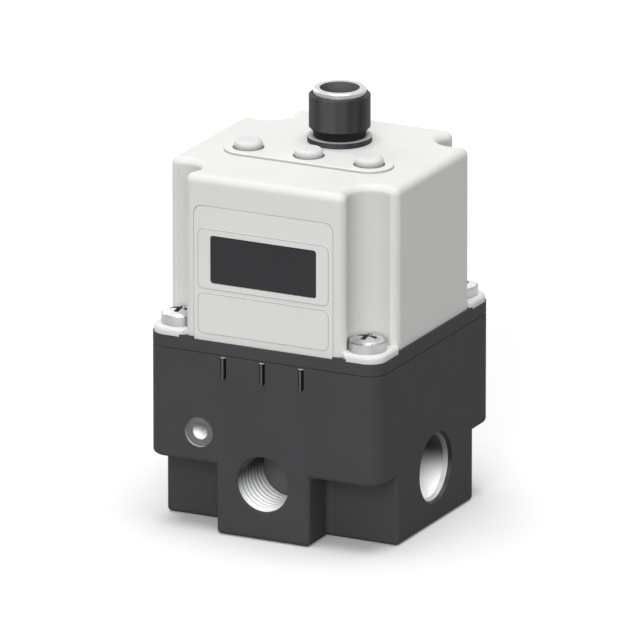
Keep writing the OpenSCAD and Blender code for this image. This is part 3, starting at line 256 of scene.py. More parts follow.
class RegulatorStage(bpy.types.PropertyGroup):
    """Camera, lamps and floor."""

    azimuth: turn("Azimuth", "Camera's turn to the right of the front", 26.48)
    elevation: turn("Elevation", "Camera's height above the horizon", 17.37)
    distance: length("Distance", "Camera's distance from its target", 2.994)
    focal: amount("Focal length", "Camera's focal length in millimetres", 870.0, unit="CAMERA", min=1)
    aim_height: length("Aim height", "Height of the camera's target above the foot", 37.64 * MM)
    aim_aside: length("Aim aside", "How far the target lies left of the middle", 0.02 * MM)
    sky: amount("Sky", "Strength of the even light from all round", 0.24, min=0)
    key: amount("Key lamp", "Strength of the soft lamp overhead", 1.8, min=0)
    key_from: direction("Key lamp from", "Direction from the part to the key lamp", (0.0, -0.03, 1.0))
    fill: amount("Fill lamp", "Strength of the soft lamp in front", 1.3, min=0)
    fill_from: direction("Fill lamp from", "Direction from the part to the fill lamp", (0.24, -0.91, 0.34))
    rear: amount("Rear lamp", "Strength of the soft lamp behind", 0.45, min=0)
    rear_from: direction("Rear lamp from", "Direction from the part to the rear lamp", (-0.85, 0.42, 0.3))
    port: amount("Port lamp", "Strength of the lamp that shines into the ports alone", 4.0, min=0)
    port_from: direction("Port lamp from", "Direction from the part to the port lamp", (0.45, -0.68, 0.58))
    lamp_spread: turn("Lamp spread", "Angle across each soft lamp", 40)
    bounce: factor("Floor bounce", "Share of the light that the floor throws back at the part", 0.36)
    floor_lift: factor("Floor lift", "How far the floor that is seen is lifted to white", 0.1)
    floor_size: length("Floor size", "Width of the floor", 6.0)


class Finish:
    """Material under construction: nodes that vary a surface over the part's own frame."""

    def __init__(self, name, metallic=0.0, specular=0.5):
        self.material = bpy.data.materials.new(name)
        self.material.use_nodes = True
        self.tree = self.material.node_tree
        self.shader = self.tree.nodes["Principled BSDF"]
        self.shader.inputs["Metallic"].default_value = metallic
        self.shader.inputs["Specular IOR Level"].default_value = specular
        self.place = self.add("ShaderNodeTexCoord").outputs["Object"]

    def add(self, kind, **settings):
        """New node with its settings."""
        node = self.tree.nodes.new(kind)
        for key, value in settings.items():
            setattr(node, key, value)
        return node

    def link(self, source, target):
        """Leads one socket to another."""
        self.tree.links.new(source, target)

    def grain(self, size, detail=3.0, stretch=(1, 1, 1)):
        """Cloudy pattern with features of about that size in metres."""
        mapping = self.add("ShaderNodeMapping")
        mapping.inputs["Scale"].default_value = [s / size for s in stretch]
        noise = self.add("ShaderNodeTexNoise")
        noise.inputs["Scale"].default_value = 1.0
        noise.inputs["Detail"].default_value = detail
        self.link(self.place, mapping.inputs["Vector"])
        self.link(mapping.outputs["Vector"], noise.inputs["Vector"])
        return noise.outputs["Fac"]

    def turned_lines(self, pitch, centre, rings=False):
        """Fine lines of a turning tool about an upright axis: grooves up its side, or rings on its end."""
        mapping = self.add("ShaderNodeMapping")
        mapping.inputs["Location"].default_value = [-c for c in centre]
        wave = self.add("ShaderNodeTexWave", wave_type="RINGS" if rings else "BANDS")
        wave.bands_direction = "Z"
        wave.rings_direction = "Z"
        wave.inputs["Scale"].default_value = WAVE_LENGTH / pitch
        wave.inputs["Distortion"].default_value = LINE_WANDER
        wave.inputs["Detail"].default_value = LINE_DETAIL
        self.link(self.place, mapping.inputs["Vector"])
        self.link(mapping.outputs["Vector"], wave.inputs["Vector"])
        return wave.outputs["Fac"]

    def remap(self, source, span, ends=WHOLE_SPAN):
        """Values carried from a span of the source to the given ends, and held there."""
        node = self.add("ShaderNodeMapRange")
        for key, value in zip(("From Min", "From Max", "To Min", "To Max"), (*span, *ends)):
            node.inputs[key].default_value = value
        self.link(source, node.inputs["Value"])
        return node.outputs["Result"]

    def height_share(self, low, high):
        """Share from 0 at one height to 1 at another."""
        parts = self.add("ShaderNodeSeparateXYZ")
        self.link(self.place, parts.inputs["Vector"])
        return self.remap(parts.outputs["Z"], (low, high))

    def shade(self, source, base, first, last, span=COLOUR_SPAN, blend="LINEAR"):
        """Base colour that varies by a pattern, from a first to a last share of the given colour."""
        ramp = self.add("ShaderNodeValToRGB")
        ramp.color_ramp.interpolation = blend
        ends = ramp.color_ramp.elements
        for end, position, share in zip(ends, span, (first, last)):
            end.position = position
            end.color = [*(min(1, c) for c in tint(base, share)), 1]
        self.link(source, ramp.inputs["Fac"])
        self.link(ramp.outputs["Color"], self.shader.inputs["Base Color"])

    def roughness(self, source, low, high):
        """Roughness that varies by a pattern."""
        self.link(self.remap(source, GLOSS_SPAN, (low, high)), self.shader.inputs["Roughness"])

    def relief(self, source, height):
        """Fine relief of that height in metres."""
        bump = self.add("ShaderNodeBump")
        bump.inputs["Strength"].default_value = 1.0
        bump.inputs["Distance"].default_value = height
        self.link(source, bump.inputs["Height"])
        self.link(bump.outputs["Normal"], self.shader.inputs["Normal"])


def satin_paint(name, base):
    """Satin paint over cast metal: a soft orange peel and slightly uneven gloss."""
    finish = Finish(name, specular=0.02)
    finish.shade(finish.grain(size=9 * MM), base, first=0.96, last=1.04)
    finish.roughness(finish.grain(size=2.5 * MM), low=0.46, high=0.56)
    finish.relief(finish.grain(size=0.35 * MM, detail=2.0), height=0.006 * MM)
    return finish.material


def cast_metal(name, base):
    """Bare metal with a matt, faintly pitted face."""
    finish = Finish(name, metallic=0.2, specular=0.3)
    finish.shade(finish.grain(size=1.5 * MM), base, first=0.9, last=1.1)
    finish.roughness(finish.grain(size=0.8 * MM), low=0.55, high=0.7)
    finish.relief(finish.grain(size=0.3 * MM), height=0.02 * MM)
    return finish.material


def erode_plastic(finish, rough):
    """Gives a plastic the fine grain of a spark-eroded mould and slightly uneven gloss."""
    finish.roughness(finish.grain(size=3 * MM), low=rough - 0.04, high=rough + 0.04)
    finish.relief(finish.grain(size=0.22 * MM, detail=2.0), height=0.004 * MM)


def moulded_plastic(name, base, rough):
    """Moulded plastic with slight flow clouds."""
    finish = Finish(name, specular=0.08)
    finish.shade(finish.grain(size=14 * MM), base, first=0.985, last=1.01)
    erode_plastic(finish, rough)
    return finish.material


def painted_shade_plastic(name, base, rough, low, high, dark):
    """Moulded plastic with painted shade, darker at its foot and plain from some height up."""
    finish = Finish(name, specular=0.08)
    finish.shade(finish.height_share(low, high), base, first=dark, last=1.0, span=WHOLE_SPAN)
    erode_plastic(finish, rough)
    return finish.material


def printed_film(name, base):
    """Smooth panel film with a faint haze."""
    finish = Finish(name, specular=0.08)
    finish.shade(finish.grain(size=20 * MM), base, first=0.99, last=1.01)
    finish.roughness(finish.grain(size=1.2 * MM), low=0.40, high=0.47)
    finish.relief(finish.grain(size=0.5 * MM, detail=2.0), height=0.002 * MM)
    return finish.material


def smoked_window(name, base):
    """Glossy smoked plastic over a dark display."""
    finish = Finish(name, specular=0.2)
    finish.shade(finish.grain(size=12 * MM), base, first=0.93, last=1.05)
    finish.roughness(finish.grain(size=4 * MM), low=0.14, high=0.2)
    finish.relief(finish.grain(size=6 * MM, detail=1.0), height=0.002 * MM)
    return finish.material


def turned_metal(name, base, centre, pitch, rough, rings=False):
    """Bare metal with the lines of a turning tool about an upright axis."""
    finish = Finish(name, metallic=1.0)
    lines = finish.turned_lines(pitch, centre, rings)
    finish.shade(lines, base, first=0.93, last=1.03)
    finish.roughness(finish.grain(size=0.9 * MM), low=rough - 0.05, high=rough + 0.05)
    finish.relief(lines, height=0.004 * MM)
    return finish.material


def painted_shade_bore(name, base, middle_z, radius, span, dark):
    """Cut metal of a level bore with painted shade, darker upwards over a span in radii from its middle."""
    low, high = (middle_z + share * radius for share in span)
    finish = Finish(name, metallic=0.15, specular=0.3)
    finish.shade(finish.height_share(low, high), base, first=1.0, last=dark, span=WHOLE_SPAN, blend="EASE")
    finish.roughness(finish.grain(size=0.9 * MM), low=0.35, high=0.45)
    finish.relief(finish.grain(size=0.4 * MM), height=0.004 * MM)
    return finish.material


def plated_metal(name, base, rough):
    """Bright plating with faint clouds."""
    finish = Finish(name, metallic=1.0)
    finish.shade(finish.grain(size=1.1 * MM), base, first=0.93, last=1.04)
    finish.roughness(finish.grain(size=0.5 * MM), low=rough - 0.05, high=rough + 0.07)
    finish.relief(finish.grain(size=0.25 * MM, detail=2.0), height=0.002 * MM)
    return finish.material


def black_metal(name, base, centre):
    """Blackened turned metal with an upright axis, with upright streaks of painted reflection along it."""
    finish = Finish(name, specular=0.03)
    # Painted reflections: upright light and dark streaks.
    painted_reflection_streaks = finish.grain(size=3 * MM, detail=1.0, stretch=(1, 1, 0.02))
    finish.shade(painted_reflection_streaks, base, first=0.5, last=1.4)
    finish.roughness(finish.grain(size=1.0 * MM), low=0.36, high=0.46)
    finish.relief(finish.turned_lines(pitch=0.12 * MM, centre=centre), height=0.003 * MM)
    return finish.material


def soft_rubber(name, base):
    """Dull rubber with a dusty bloom."""
    finish = Finish(name, specular=0.2)
    finish.shade(finish.grain(size=2 * MM), base, first=0.85, last=1.2)
    finish.roughness(finish.grain(size=1.0 * MM), low=0.7, high=0.85)
    finish.relief(finish.grain(size=0.2 * MM), height=0.006 * MM)
    return finish.material


def board_laminate(name, base):
    """Circuit board under solder mask, with the glass weave showing through."""
    weave_size = 2.4 * MM
    finish = Finish(name, specular=0.45)
    weave = finish.add("ShaderNodeTexBrick")
    weave.inputs["Scale"].default_value = 1 / weave_size
    weave.inputs["Color1"].default_value = [*base, 1]
    weave.inputs["Color2"].default_value = [*tint(base, share=0.9), 1]
    weave.inputs["Mortar"].default_value = [*tint(base, share=1.25), 1]
    weave.inputs["Mortar Size"].default_value = 0.03
    finish.link(finish.place, weave.inputs["Vector"])
    finish.link(weave.outputs["Color"], finish.shader.inputs["Base Color"])
    finish.roughness(finish.grain(size=2 * MM), low=0.35, high=0.45)
    finish.relief(weave.outputs["Fac"], height=0.01 * MM)
    return finish.material


def dress(names, material):
    """Gives CAD nodes one finish all over."""
    for name in names:
        slots = NODES[name].data.materials
        slots.clear()
        slots.append(material)


def dress_faces(name, material, belongs):
    """Adds a finish to a CAD node, on the faces whose middle and direction pass a test."""
    mesh = NODES[name].data
    mesh.materials.append(material)
    index = len(mesh.materials) - 1
    found = [face for face in mesh.polygons if belongs(face.center, face.normal)]
    if not found:
        raise RuntimeError(f"no face of {name} takes {material.name}")
    for face in found:
        face.material_index = index


def new_piece(name, points, faces, material, body):
    """Mesh piece that rides on a CAD body, smooth where its faces meet gently."""
    mesh = bpy.data.meshes.new(name)
    mesh.from_pydata([tuple(p) for p in points], [], faces)
    shape = bmesh.new()
    shape.from_mesh(mesh)
    bmesh.ops.recalc_face_normals(shape, faces=shape.faces)
    shape.to_mesh(mesh)
    shape.free()
    mesh.shade_smooth()
    mesh.set_sharp_from_angle(angle=SHARP_ANGLE)
    mesh.materials.append(material)
    piece = bpy.data.objects.new(name, mesh)
    bpy.context.scene.collection.objects.link(piece)
    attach(piece, body)
    return piece


def ring_faces(rings, count, closed=True):
    """Faces between neighbouring rings of count points, and from the last ring to the first if closed."""
    faces = []
    for row in range(rings if closed else rings - 1):
        low, high = row * count, (row + 1) % rings * count
        for i in range(count):
            j = (i + 1) % count
            faces.append((low + i, low + j, high + j, high + i))
    return faces


def thread_height(share):
    """Height of a thread's flank at a share of its pitch, from 0 at the root to 1 at the crest."""
    steepness, root_flat = 1.5, 0.25
    rise = (0.5 - abs(share % 1.0 - 0.5)) * 2
    return min(1.0, max(0.0, steepness * rise - root_flat))


def soft_step(share):
    """Smooth rise from 0 to 1."""
    share = min(1.0, max(0.0, share))
    return share * share * (3 - 2 * share)


def thread_liner(name, mouth, inward, bore_r, depth, pitch, run, material, sides=96, per_turn=12):
    """Closed lining of a bore whose inner wall is a helical thread. It starts at mouth and runs inward."""
    outer_r = bore_r - LINING_GAP
    root_r = outer_r - LINING_WALL
    axis = Vector(inward).normalized()
    across = axis.orthogonal().normalized()
    up = axis.cross(across)
    steps = max(2, round(run / pitch * per_turn))
    rings = []
    for step in range(steps + 1):
        offset = run * step / steps
        ease = soft_step(offset / pitch) * soft_step((run - offset) / (RUN_OUT * pitch))
        heights = [thread_height(offset / pitch + i / sides) for i in range(sides)]
        rings.append((offset, [root_r - depth * ease * height for height in heights]))
    rings.append((run, [outer_r] * sides))
    rings.append((0.0, [outer_r] * sides))
    points = []
    for offset, radii in rings:
        for i, radius in enumerate(radii):
            angle = FULL_TURN * i / sides
            spoke = across * math.cos(angle) + up * math.sin(angle)
            points.append(Vector(mouth) + axis * offset + spoke * radius)
    return new_piece(name, points, ring_faces(len(rings), sides), material, "housing")


def turned_piece(name, section, material, body, sides=96):
    """Closed piece of revolution about the upright axis, from the radii and heights round its section."""
    points = []
    for i in range(sides):
        angle = FULL_TURN * i / sides
        points += [(r * math.cos(angle), r * math.sin(angle), z) for r, z in section]
    return new_piece(name, points, ring_faces(sides, len(section)), material, body)


def rounded_outline(width, height, radius, arc=8):
    """Points round a rectangle with round corners, about its middle."""
    points = []
    for quarter, (sx, sy) in enumerate(((1, 1), (-1, 1), (-1, -1), (1, -1))):
        for step in range(arc + 1):
            angle = math.pi / 2 * (quarter + step / arc)
            points.append((sx * (width / 2 - radius) + radius * math.cos(angle),
                           sy * (height / 2 - radius) + radius * math.sin(angle)))
    return points


def outline_frame(centre_z, width, height, radius, line, face_y, proud):
    """Points and faces of a thin raised frame on a face that looks to the front."""
    outer = rounded_outline(width, height, radius)
    inner = rounded_outline(width - 2 * line, height - 2 * line, radius - line)
    back, front = face_y + proud, face_y - proud
    loops = ((outer, back), (outer, front), (inner, front), (inner, back))
    points = [(x, y, centre_z + z) for loop, y in loops for x, z in loop]
    return points, ring_faces(len(loops), len(outer))


class REGULATOR_OT_body(bpy.types.Operator):
    """Paints the cast body and the pilot plate, and finishes the body's ports, ribs and bracket holes, with
    painted shade in the ports and painted shade and highlights on the ribs.
    """

    bl_idname = "regulator.body"
    bl_label = "Cast Body"

    def execute(self, context):
        colours = context.scene.regulator_finishes
        dress(("main_body", "pilot_plate"), satin_paint("Charcoal satin paint", colours.body))
        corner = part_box("main_body")[1]
        half, front_face = corner.x, -corner.x
        self.finish_side_ports(colours, half)
        self.finish_front_port(colours, front_face)
        self.finish_bleed_port(colours, front_face)
        self.finish_ribs(colours, front_face, corner.z)
        self.finish_bracket_holes(colours)
        return {"FINISHED"}

    def finish_side_ports(self, colours, half):
        """Bares the bores of the side ports and their seat rings, and paints shade on them and on their
        bevelled mouths, darker upwards.
        """
        place, port_r = port("supply_port")
        bevel_x = half - MOUTH_BEVEL + SLACK
        end_x = half - SIDE_PORT_DEPTH - SLACK
        ring_r = port_r + SEAT_RING + SLACK

        def from_axis(p):
            return math.hypot(p.y, p.z - place.z)

        def in_bore(p, n):
            return end_x < abs(p.x) < bevel_x and from_axis(p) < ring_r

        def on_ring(p, n):
            return in_bore(p, n) and abs(n.x) > SEAT_SLOPE

        def on_mouth(p, n):
            beside = abs(p.x) > bevel_x and abs(n.x) < SIDE_FLAT
            return beside and from_axis(p) < ring_r + MOUTH_BEVEL_REACH

        metal, shaded_paint = colours.machined, tint(colours.body, share=0.7)
        # Painted shade: bores, seat rings and mouth bevels grow darker upwards, the mouths in a darkened
        # paint tint.
        dress_faces("main_body", painted_shade_bore(
            "Machined side port, painted shade", metal, place.z, port_r, span=(-1.0, 1.0), dark=0.12), in_bore)
        dress_faces("main_body", painted_shade_bore(
            "Side port ring, painted shade", metal, place.z, port_r, span=(-0.9, 0.5), dark=0.18), on_ring)
        dress_faces("main_body", painted_shade_bore(
            "Side port mouth, painted shade", shaded_paint, place.z, port_r, span=(-1.0, 0.2), dark=0.05), on_mouth)

    def finish_front_port(self, colours, front_face):
        """Bares the floor of the front port, in cast metal darkened as painted shade."""
        place, port_r = port("exhaust_port")
        floor_y = front_face + FRONT_PORT_DEPTH
        floor_r = port_r + FRONT_FLOOR_REACH

        def on_floor(p, n):
            return abs(p.y - floor_y) < SLACK and math.hypot(p.x, p.z - place.z) < floor_r

        # Painted shade: the port floor is a dark tint of the machined colour.
        dress_faces("main_body", cast_metal("Cast port floor, painted shade", tint(colours.machined, share=0.12)), on_floor)

    def finish_bleed_port(self, colours, front_face):
        """Bares the bore and the spot face of the bleed port, with painted shade darkening the bore upwards.
        """
        place = port("bleed_port")[0]
        spot_r = SPOT_FACE_R + SLACK

        def in_bore(p, n):
            inside = front_face < p.y < front_face + BLEED_PORT_DEPTH
            return inside and math.hypot(p.x - place.x, p.z - place.z) < spot_r

        def on_spot_face(p, n):
            return in_bore(p, n) and p.y < front_face + SPOT_FACE_DEPTH and n.y < -FACING

        # Painted shade: the bleed bore grows darker upwards.
        dress_faces("main_body", painted_shade_bore(
            "Drilled bleed port, painted shade", colours.machined, place.z, spot_r, span=(-1.0, 1.0), dark=0.05), in_bore)
        dress_faces("main_body", cast_metal(
            "Spot faced bleed port", tint(colours.machined, share=0.2)), on_spot_face)

    def finish_ribs(self, colours, front_face, top_z):
        """Paints shade on the ribs' flanks and highlights on their crests and tops, the tops in bright
        metal.
        """

        def on_rib(p):
            return p.y < front_face - CLOSE_SLACK

        def on_flank(p, n):
            return on_rib(p) and abs(n.x) > RIB_FLANK

        def on_crest(p, n):
            return on_rib(p) and abs(n.x) <= RIB_FLANK

        def on_top(p, n):
            return p.y < front_face and p.z > top_z - RIB_TOP_DROP and n.z > FACING

        # Painted shade on the rib flanks; painted highlights on the crests and the upward tops.
        dress_faces("main_body", satin_paint("Shaded rib flanks", tint(colours.body, share=0.1)), on_flank)
        dress_faces("main_body", satin_paint("Rib crests, painted highlight", tint(colours.body, share=1.6)), on_crest)
        dress_faces("main_body", cast_metal("Rib tops, painted highlight", colours.machined), on_top)

    def finish_bracket_holes(self, colours):
        """Bares the four bracket holes in the foot."""
        holes = mount("bracket_holes")["dims"]
        hole_r = holes["hole_r_mm"] * MM + SLACK
        hole_x, hole_y = holes["spacing_x_mm"] / 2 * MM, holes["spacing_y_mm"] / 2 * MM

        def in_hole(p, n):
            inside = SLACK < p.z < BRACKET_HOLE_DEPTH + SLACK
            return inside and math.hypot(abs(p.x) - hole_x, abs(p.y) - hole_y) < hole_r

        dress_faces("main_body", turned_metal(
            "Drilled bracket hole", colours.machined, centre=(0, 0, 0), pitch=0.3 * MM, rough=0.4), in_hole)


class REGULATOR_OT_port_threads(bpy.types.Operator):
    """Cuts the threads that show in the front port and in the bleed port, and lines the side ports, all in
    metal with painted shade that darkens upwards.
    """

    bl_idname = "regulator.port_threads"
    bl_label = "Port Threads"

    def execute(self, context):
        metal = context.scene.regulator_finishes.machined
        sizes = context.scene.regulator_details
        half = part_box("main_body")[1].x
        linings = bpy.data.collections.new(LININGS)
        place, bore_r = port("exhaust_port")
        # Painted shade: the threads and the side linings grow darker upwards.
        pipe_thread = painted_shade_bore("Cut pipe thread, painted shade", metal, place.z, bore_r, span=(-1.2, 0.35), dark=0.02)
        linings.objects.link(thread_liner(
            "front_port_thread", (0, -half + sizes.thread_start, place.z), (0, 1, 0), bore_r,
            sizes.thread_depth, sizes.thread_pitch, sizes.thread_run, pipe_thread))
        place, bore_r = port("bleed_port")
        fine_thread = painted_shade_bore("Cut bleed thread, painted shade", metal, place.z, bore_r, span=(-1.0, 1.0), dark=0.1)
        linings.objects.link(thread_liner(
            "bleed_port_thread", (place.x, -half + sizes.bleed_start, place.z), (0, 1, 0), bore_r,
            sizes.bleed_depth, sizes.bleed_pitch, sizes.bleed_run, fine_thread,
            sides=64, per_turn=8))
        place, bore_r = port("supply_port")
        reamed = painted_shade_bore("Reamed side port, painted shade", metal, place.z, bore_r, span=(-1.1, 0.35), dark=0.02)
        run = sizes.lining_run
        for name, side in (("supply_port_lining", 1), ("outlet_port_lining", -1)):
            mouth = (side * (half - sizes.lining_start), 0, place.z)
            linings.objects.link(thread_liner(
                name, mouth, (-side, 0, 0), bore_r, depth=0.0, pitch=run, run=run, material=reamed,
                per_turn=4))
        return {"FINISHED"}


class REGULATOR_OT_cover(bpy.types.Operator):
    """Gives the hooded cover its moulded plastic, with painted shade on the land's edge, in the button holes
    and in the corner scallops, and the gasket below it its rubber.
    """

    bl_idname = "regulator.cover"
    bl_label = "Cover"

    def execute(self, context):
        colours = context.scene.regulator_finishes
        land_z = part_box("cover")[1].z

        def on_land_edge(p, n):
            return p.z > land_z - LAND_RISE and n.z < LAND_TOP

        def in_scallop(p, n):
            out_x, out_y = abs(p.x) - SCALLOP_X, abs(p.y) - SCALLOP_Y
            hollow = out_x * n.x * math.copysign(1, p.x) + out_y * n.y * math.copysign(1, p.y) < 0
            on_wall = abs(math.hypot(out_x, out_y) - SCALLOP_R) < SCALLOP_SLACK
            return hollow and on_wall and abs(n.z) < UPRIGHT

        dress(("cover",), moulded_plastic("Warm white plastic", colours.cover, rough=0.42))
        # Painted shade on the land's edge and the button holes' walls, and in the corner scallops.
        dress_faces("cover", moulded_plastic(
            "Land edge, painted shade", tint(colours.cover, share=0.55), rough=0.5), on_land_edge)
        dress_faces("cover", moulded_plastic(
            "Scallop plastic, painted shade", tint(colours.cover, share=0.87), rough=0.42), in_scallop)
        dress(("cover_gasket",), soft_rubber("Gasket rubber", colours.rubber))
        return {"FINISHED"}


class REGULATOR_OT_front_panel(bpy.types.Operator):
    """Finishes the front panel and its window, and lays the fine frames on its two fields."""

    bl_idname = "regulator.front_panel"
    bl_label = "Front Panel"

    def execute(self, context):
        colours = context.scene.regulator_finishes
        sizes = context.scene.regulator_details
        dress(("front_panel",), printed_film("Panel film", colours.panel))
        dress(("display_window",), smoked_window("Smoked window", colours.window))
        panel_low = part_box("front_panel")[0]
        window_low, window_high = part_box("display_window")
        upper_z = (window_low.z + window_high.z) / 2
        lower_z = panel_low.z + sizes.field_margin + sizes.lower_field / 2
        points, faces = [], []
        for centre_z, height in ((upper_z, sizes.upper_field), (lower_z, sizes.lower_field)):
            more, sides = outline_frame(
                centre_z, sizes.field_width, height, sizes.field_corner,
                line=sizes.hairline_width, face_y=panel_low.y, proud=sizes.hairline_rise)
            faces += [tuple(i + len(points) for i in side) for side in sides]
            points += more
        ink = printed_film("Panel line ink", colours.hairline)
        new_piece("panel_lines", points, faces, ink, "housing")
        return {"FINISHED"}


class REGULATOR_OT_buttons(bpy.types.Operator):
    """Finishes the three push buttons, with painted shade at their feet, and the switch plungers under them.
    """

    bl_idname = "regulator.buttons"
    bl_label = "Push Buttons"

    def execute(self, context):
        colours = context.scene.regulator_finishes
        land_z, top_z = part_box("cover")[1].z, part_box("set_button")[1].z
        # Painted shade: the buttons grow darker towards their feet.
        dress(("down_button", "set_button", "up_button"), painted_shade_plastic(
            "Button plastic", colours.button, rough=0.38, low=land_z, high=top_z - BUTTON_CROWN, dark=0.5))
        dress(("down_plunger", "set_plunger", "up_plunger"), moulded_plastic(
            "Plunger plastic", colours.moulding, rough=0.45))
        return {"FINISHED"}


class REGULATOR_OT_screws(bpy.types.Operator):
    """Plates the four cover screws, and paints shade on the sides, dome edges and cross slots of their
    heads.
    """

    bl_idname = "regulator.screws"
    bl_label = "Cover Screws"

    def execute(self, context):
        plating = context.scene.regulator_finishes.plated
        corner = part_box("cover_screws")[1]
        screw_at = corner.x - HEAD_R

        def from_axis(p):
            return math.hypot(abs(p.x) - screw_at, abs(p.y) - screw_at)

        def on_head_side(p, n):
            return p.z < corner.z - DOME_HEIGHT and abs(n.z) < UPRIGHT

        def on_dome_edge(p, n):
            return from_axis(p) > HEAD_R - DOME_EDGE and n.z > UPRIGHT

        def in_cross(p, n):
            deep = n.z < FACING or p.z < corner.z - CROSS_RIM
            return from_axis(p) < CROSS_R and p.z > corner.z - CROSS_DEPTH and deep

        dress(("cover_screws",), plated_metal("Plated screws", plating, rough=0.24))
        # Painted shade on the head sides, the dome edges and the cross slots.
        dress_faces("cover_screws", plated_metal(
            "Head sides, painted shade", tint(plating, share=0.55), rough=0.34), on_head_side)
        dress_faces("cover_screws", plated_metal(
            "Dome edges, painted shade", tint(plating, share=0.25), rough=0.34), on_dome_edge)
        dress_faces("cover_screws", plated_metal(
            "Cross slots, painted shade", tint(plating, share=0.25), rough=0.4), in_cross)
        return {"FINISHED"}


class REGULATOR_OT_connector(bpy.types.Operator):
    """Finishes the round plug connector, with painted reflections on its collar, painted shade on its neck,
    sleeve side and sleeve bore, and a painted highlight on the sleeve's rim.
    """

    bl_idname = "regulator.connector"
    bl_label = "Connector"

    def execute(self, context):
        colours = context.scene.regulator_finishes
        connector = mount("connector")
        x, y, z = connector["pos_m"]
        axis_at = (x, y, 0)
        collar_low = z - connector["dims"]["length_mm"] / 2 * MM
        flange_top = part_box("connector_flange")[1].z
        dress(("connector_shell", "connector_flange"), black_metal(
            "Blackened collar, painted reflections", colours.collar, axis_at))
        # Painted shade: the neck under the collar is a dark sheet where shade falls.
        dress_faces("connector_shell", soft_rubber("Neck, painted shade", tint(colours.moulding, share=0.4)),
                    lambda p, n: p.z < collar_low + SLACK)
        dress_faces("connector_flange", cast_metal("Turned flange top", colours.nickel),
                    lambda p, n: p.z > flange_top - CLOSE_SLACK)
        # Painted shade: the sleeve's side and the nut are a darker tint of the nickel.
        dress(("connector_sleeve", "connector_nut"), turned_metal(
            "Nickel sleeve, painted shade", tint(colours.nickel, share=0.6), axis_at, pitch=0.12 * MM, rough=0.28))
        # Painted highlight: the sleeve's upward rim takes the full nickel colour.
        dress_faces("connector_sleeve", turned_metal(
            "Nickel rim, painted highlight", colours.nickel, axis_at, pitch=0.1 * MM, rough=0.3, rings=True),
            lambda p, n: n.z > SLEEVE_RIM)
        # Painted shade: the inside of the sleeve is darker.
        dress_faces("connector_sleeve", cast_metal("Sleeve bore, painted shade", tint(colours.nickel, share=0.3)),
                    lambda p, n: n.x * (p.x - x) + n.y * (p.y - y) < 0)
        dress(("connector_insert",), moulded_plastic("Insert plastic", colours.moulding, rough=0.5))
        dress(("connector_o_ring",), soft_rubber("Connector seal", colours.rubber))
        dress(("contact_pins",), plated_metal("Gold contacts", colours.gold, rough=0.25))
        return {"FINISHED"}


class REGULATOR_OT_electronics(bpy.types.Operator):
    """Finishes the boards, switches, solenoid valves and the pressure sensor inside the cover."""

    bl_idname = "regulator.electronics"
    bl_label = "Electronics"

    def execute(self, context):
        colours = context.scene.regulator_finishes
        dress(("control_board", "display_board"), board_laminate("Green laminate", colours.laminate))
        dress(("display_module", "board_header", "tactile_switches"), moulded_plastic(
            "Black moulding", colours.moulding, rough=0.5))
        dress(("supply_solenoid", "exhaust_solenoid", "pressure_sensor"), moulded_plastic(
            "Coil plastic", colours.coil, rough=0.5))
        dress(("solenoid_gaskets", "sensor_o_ring"), soft_rubber("Pilot seal rubber", colours.rubber))
        dress(("board_screws", "solenoid_screws"), plated_metal("Small screws", colours.steel, rough=0.3))
        return {"FINISHED"}


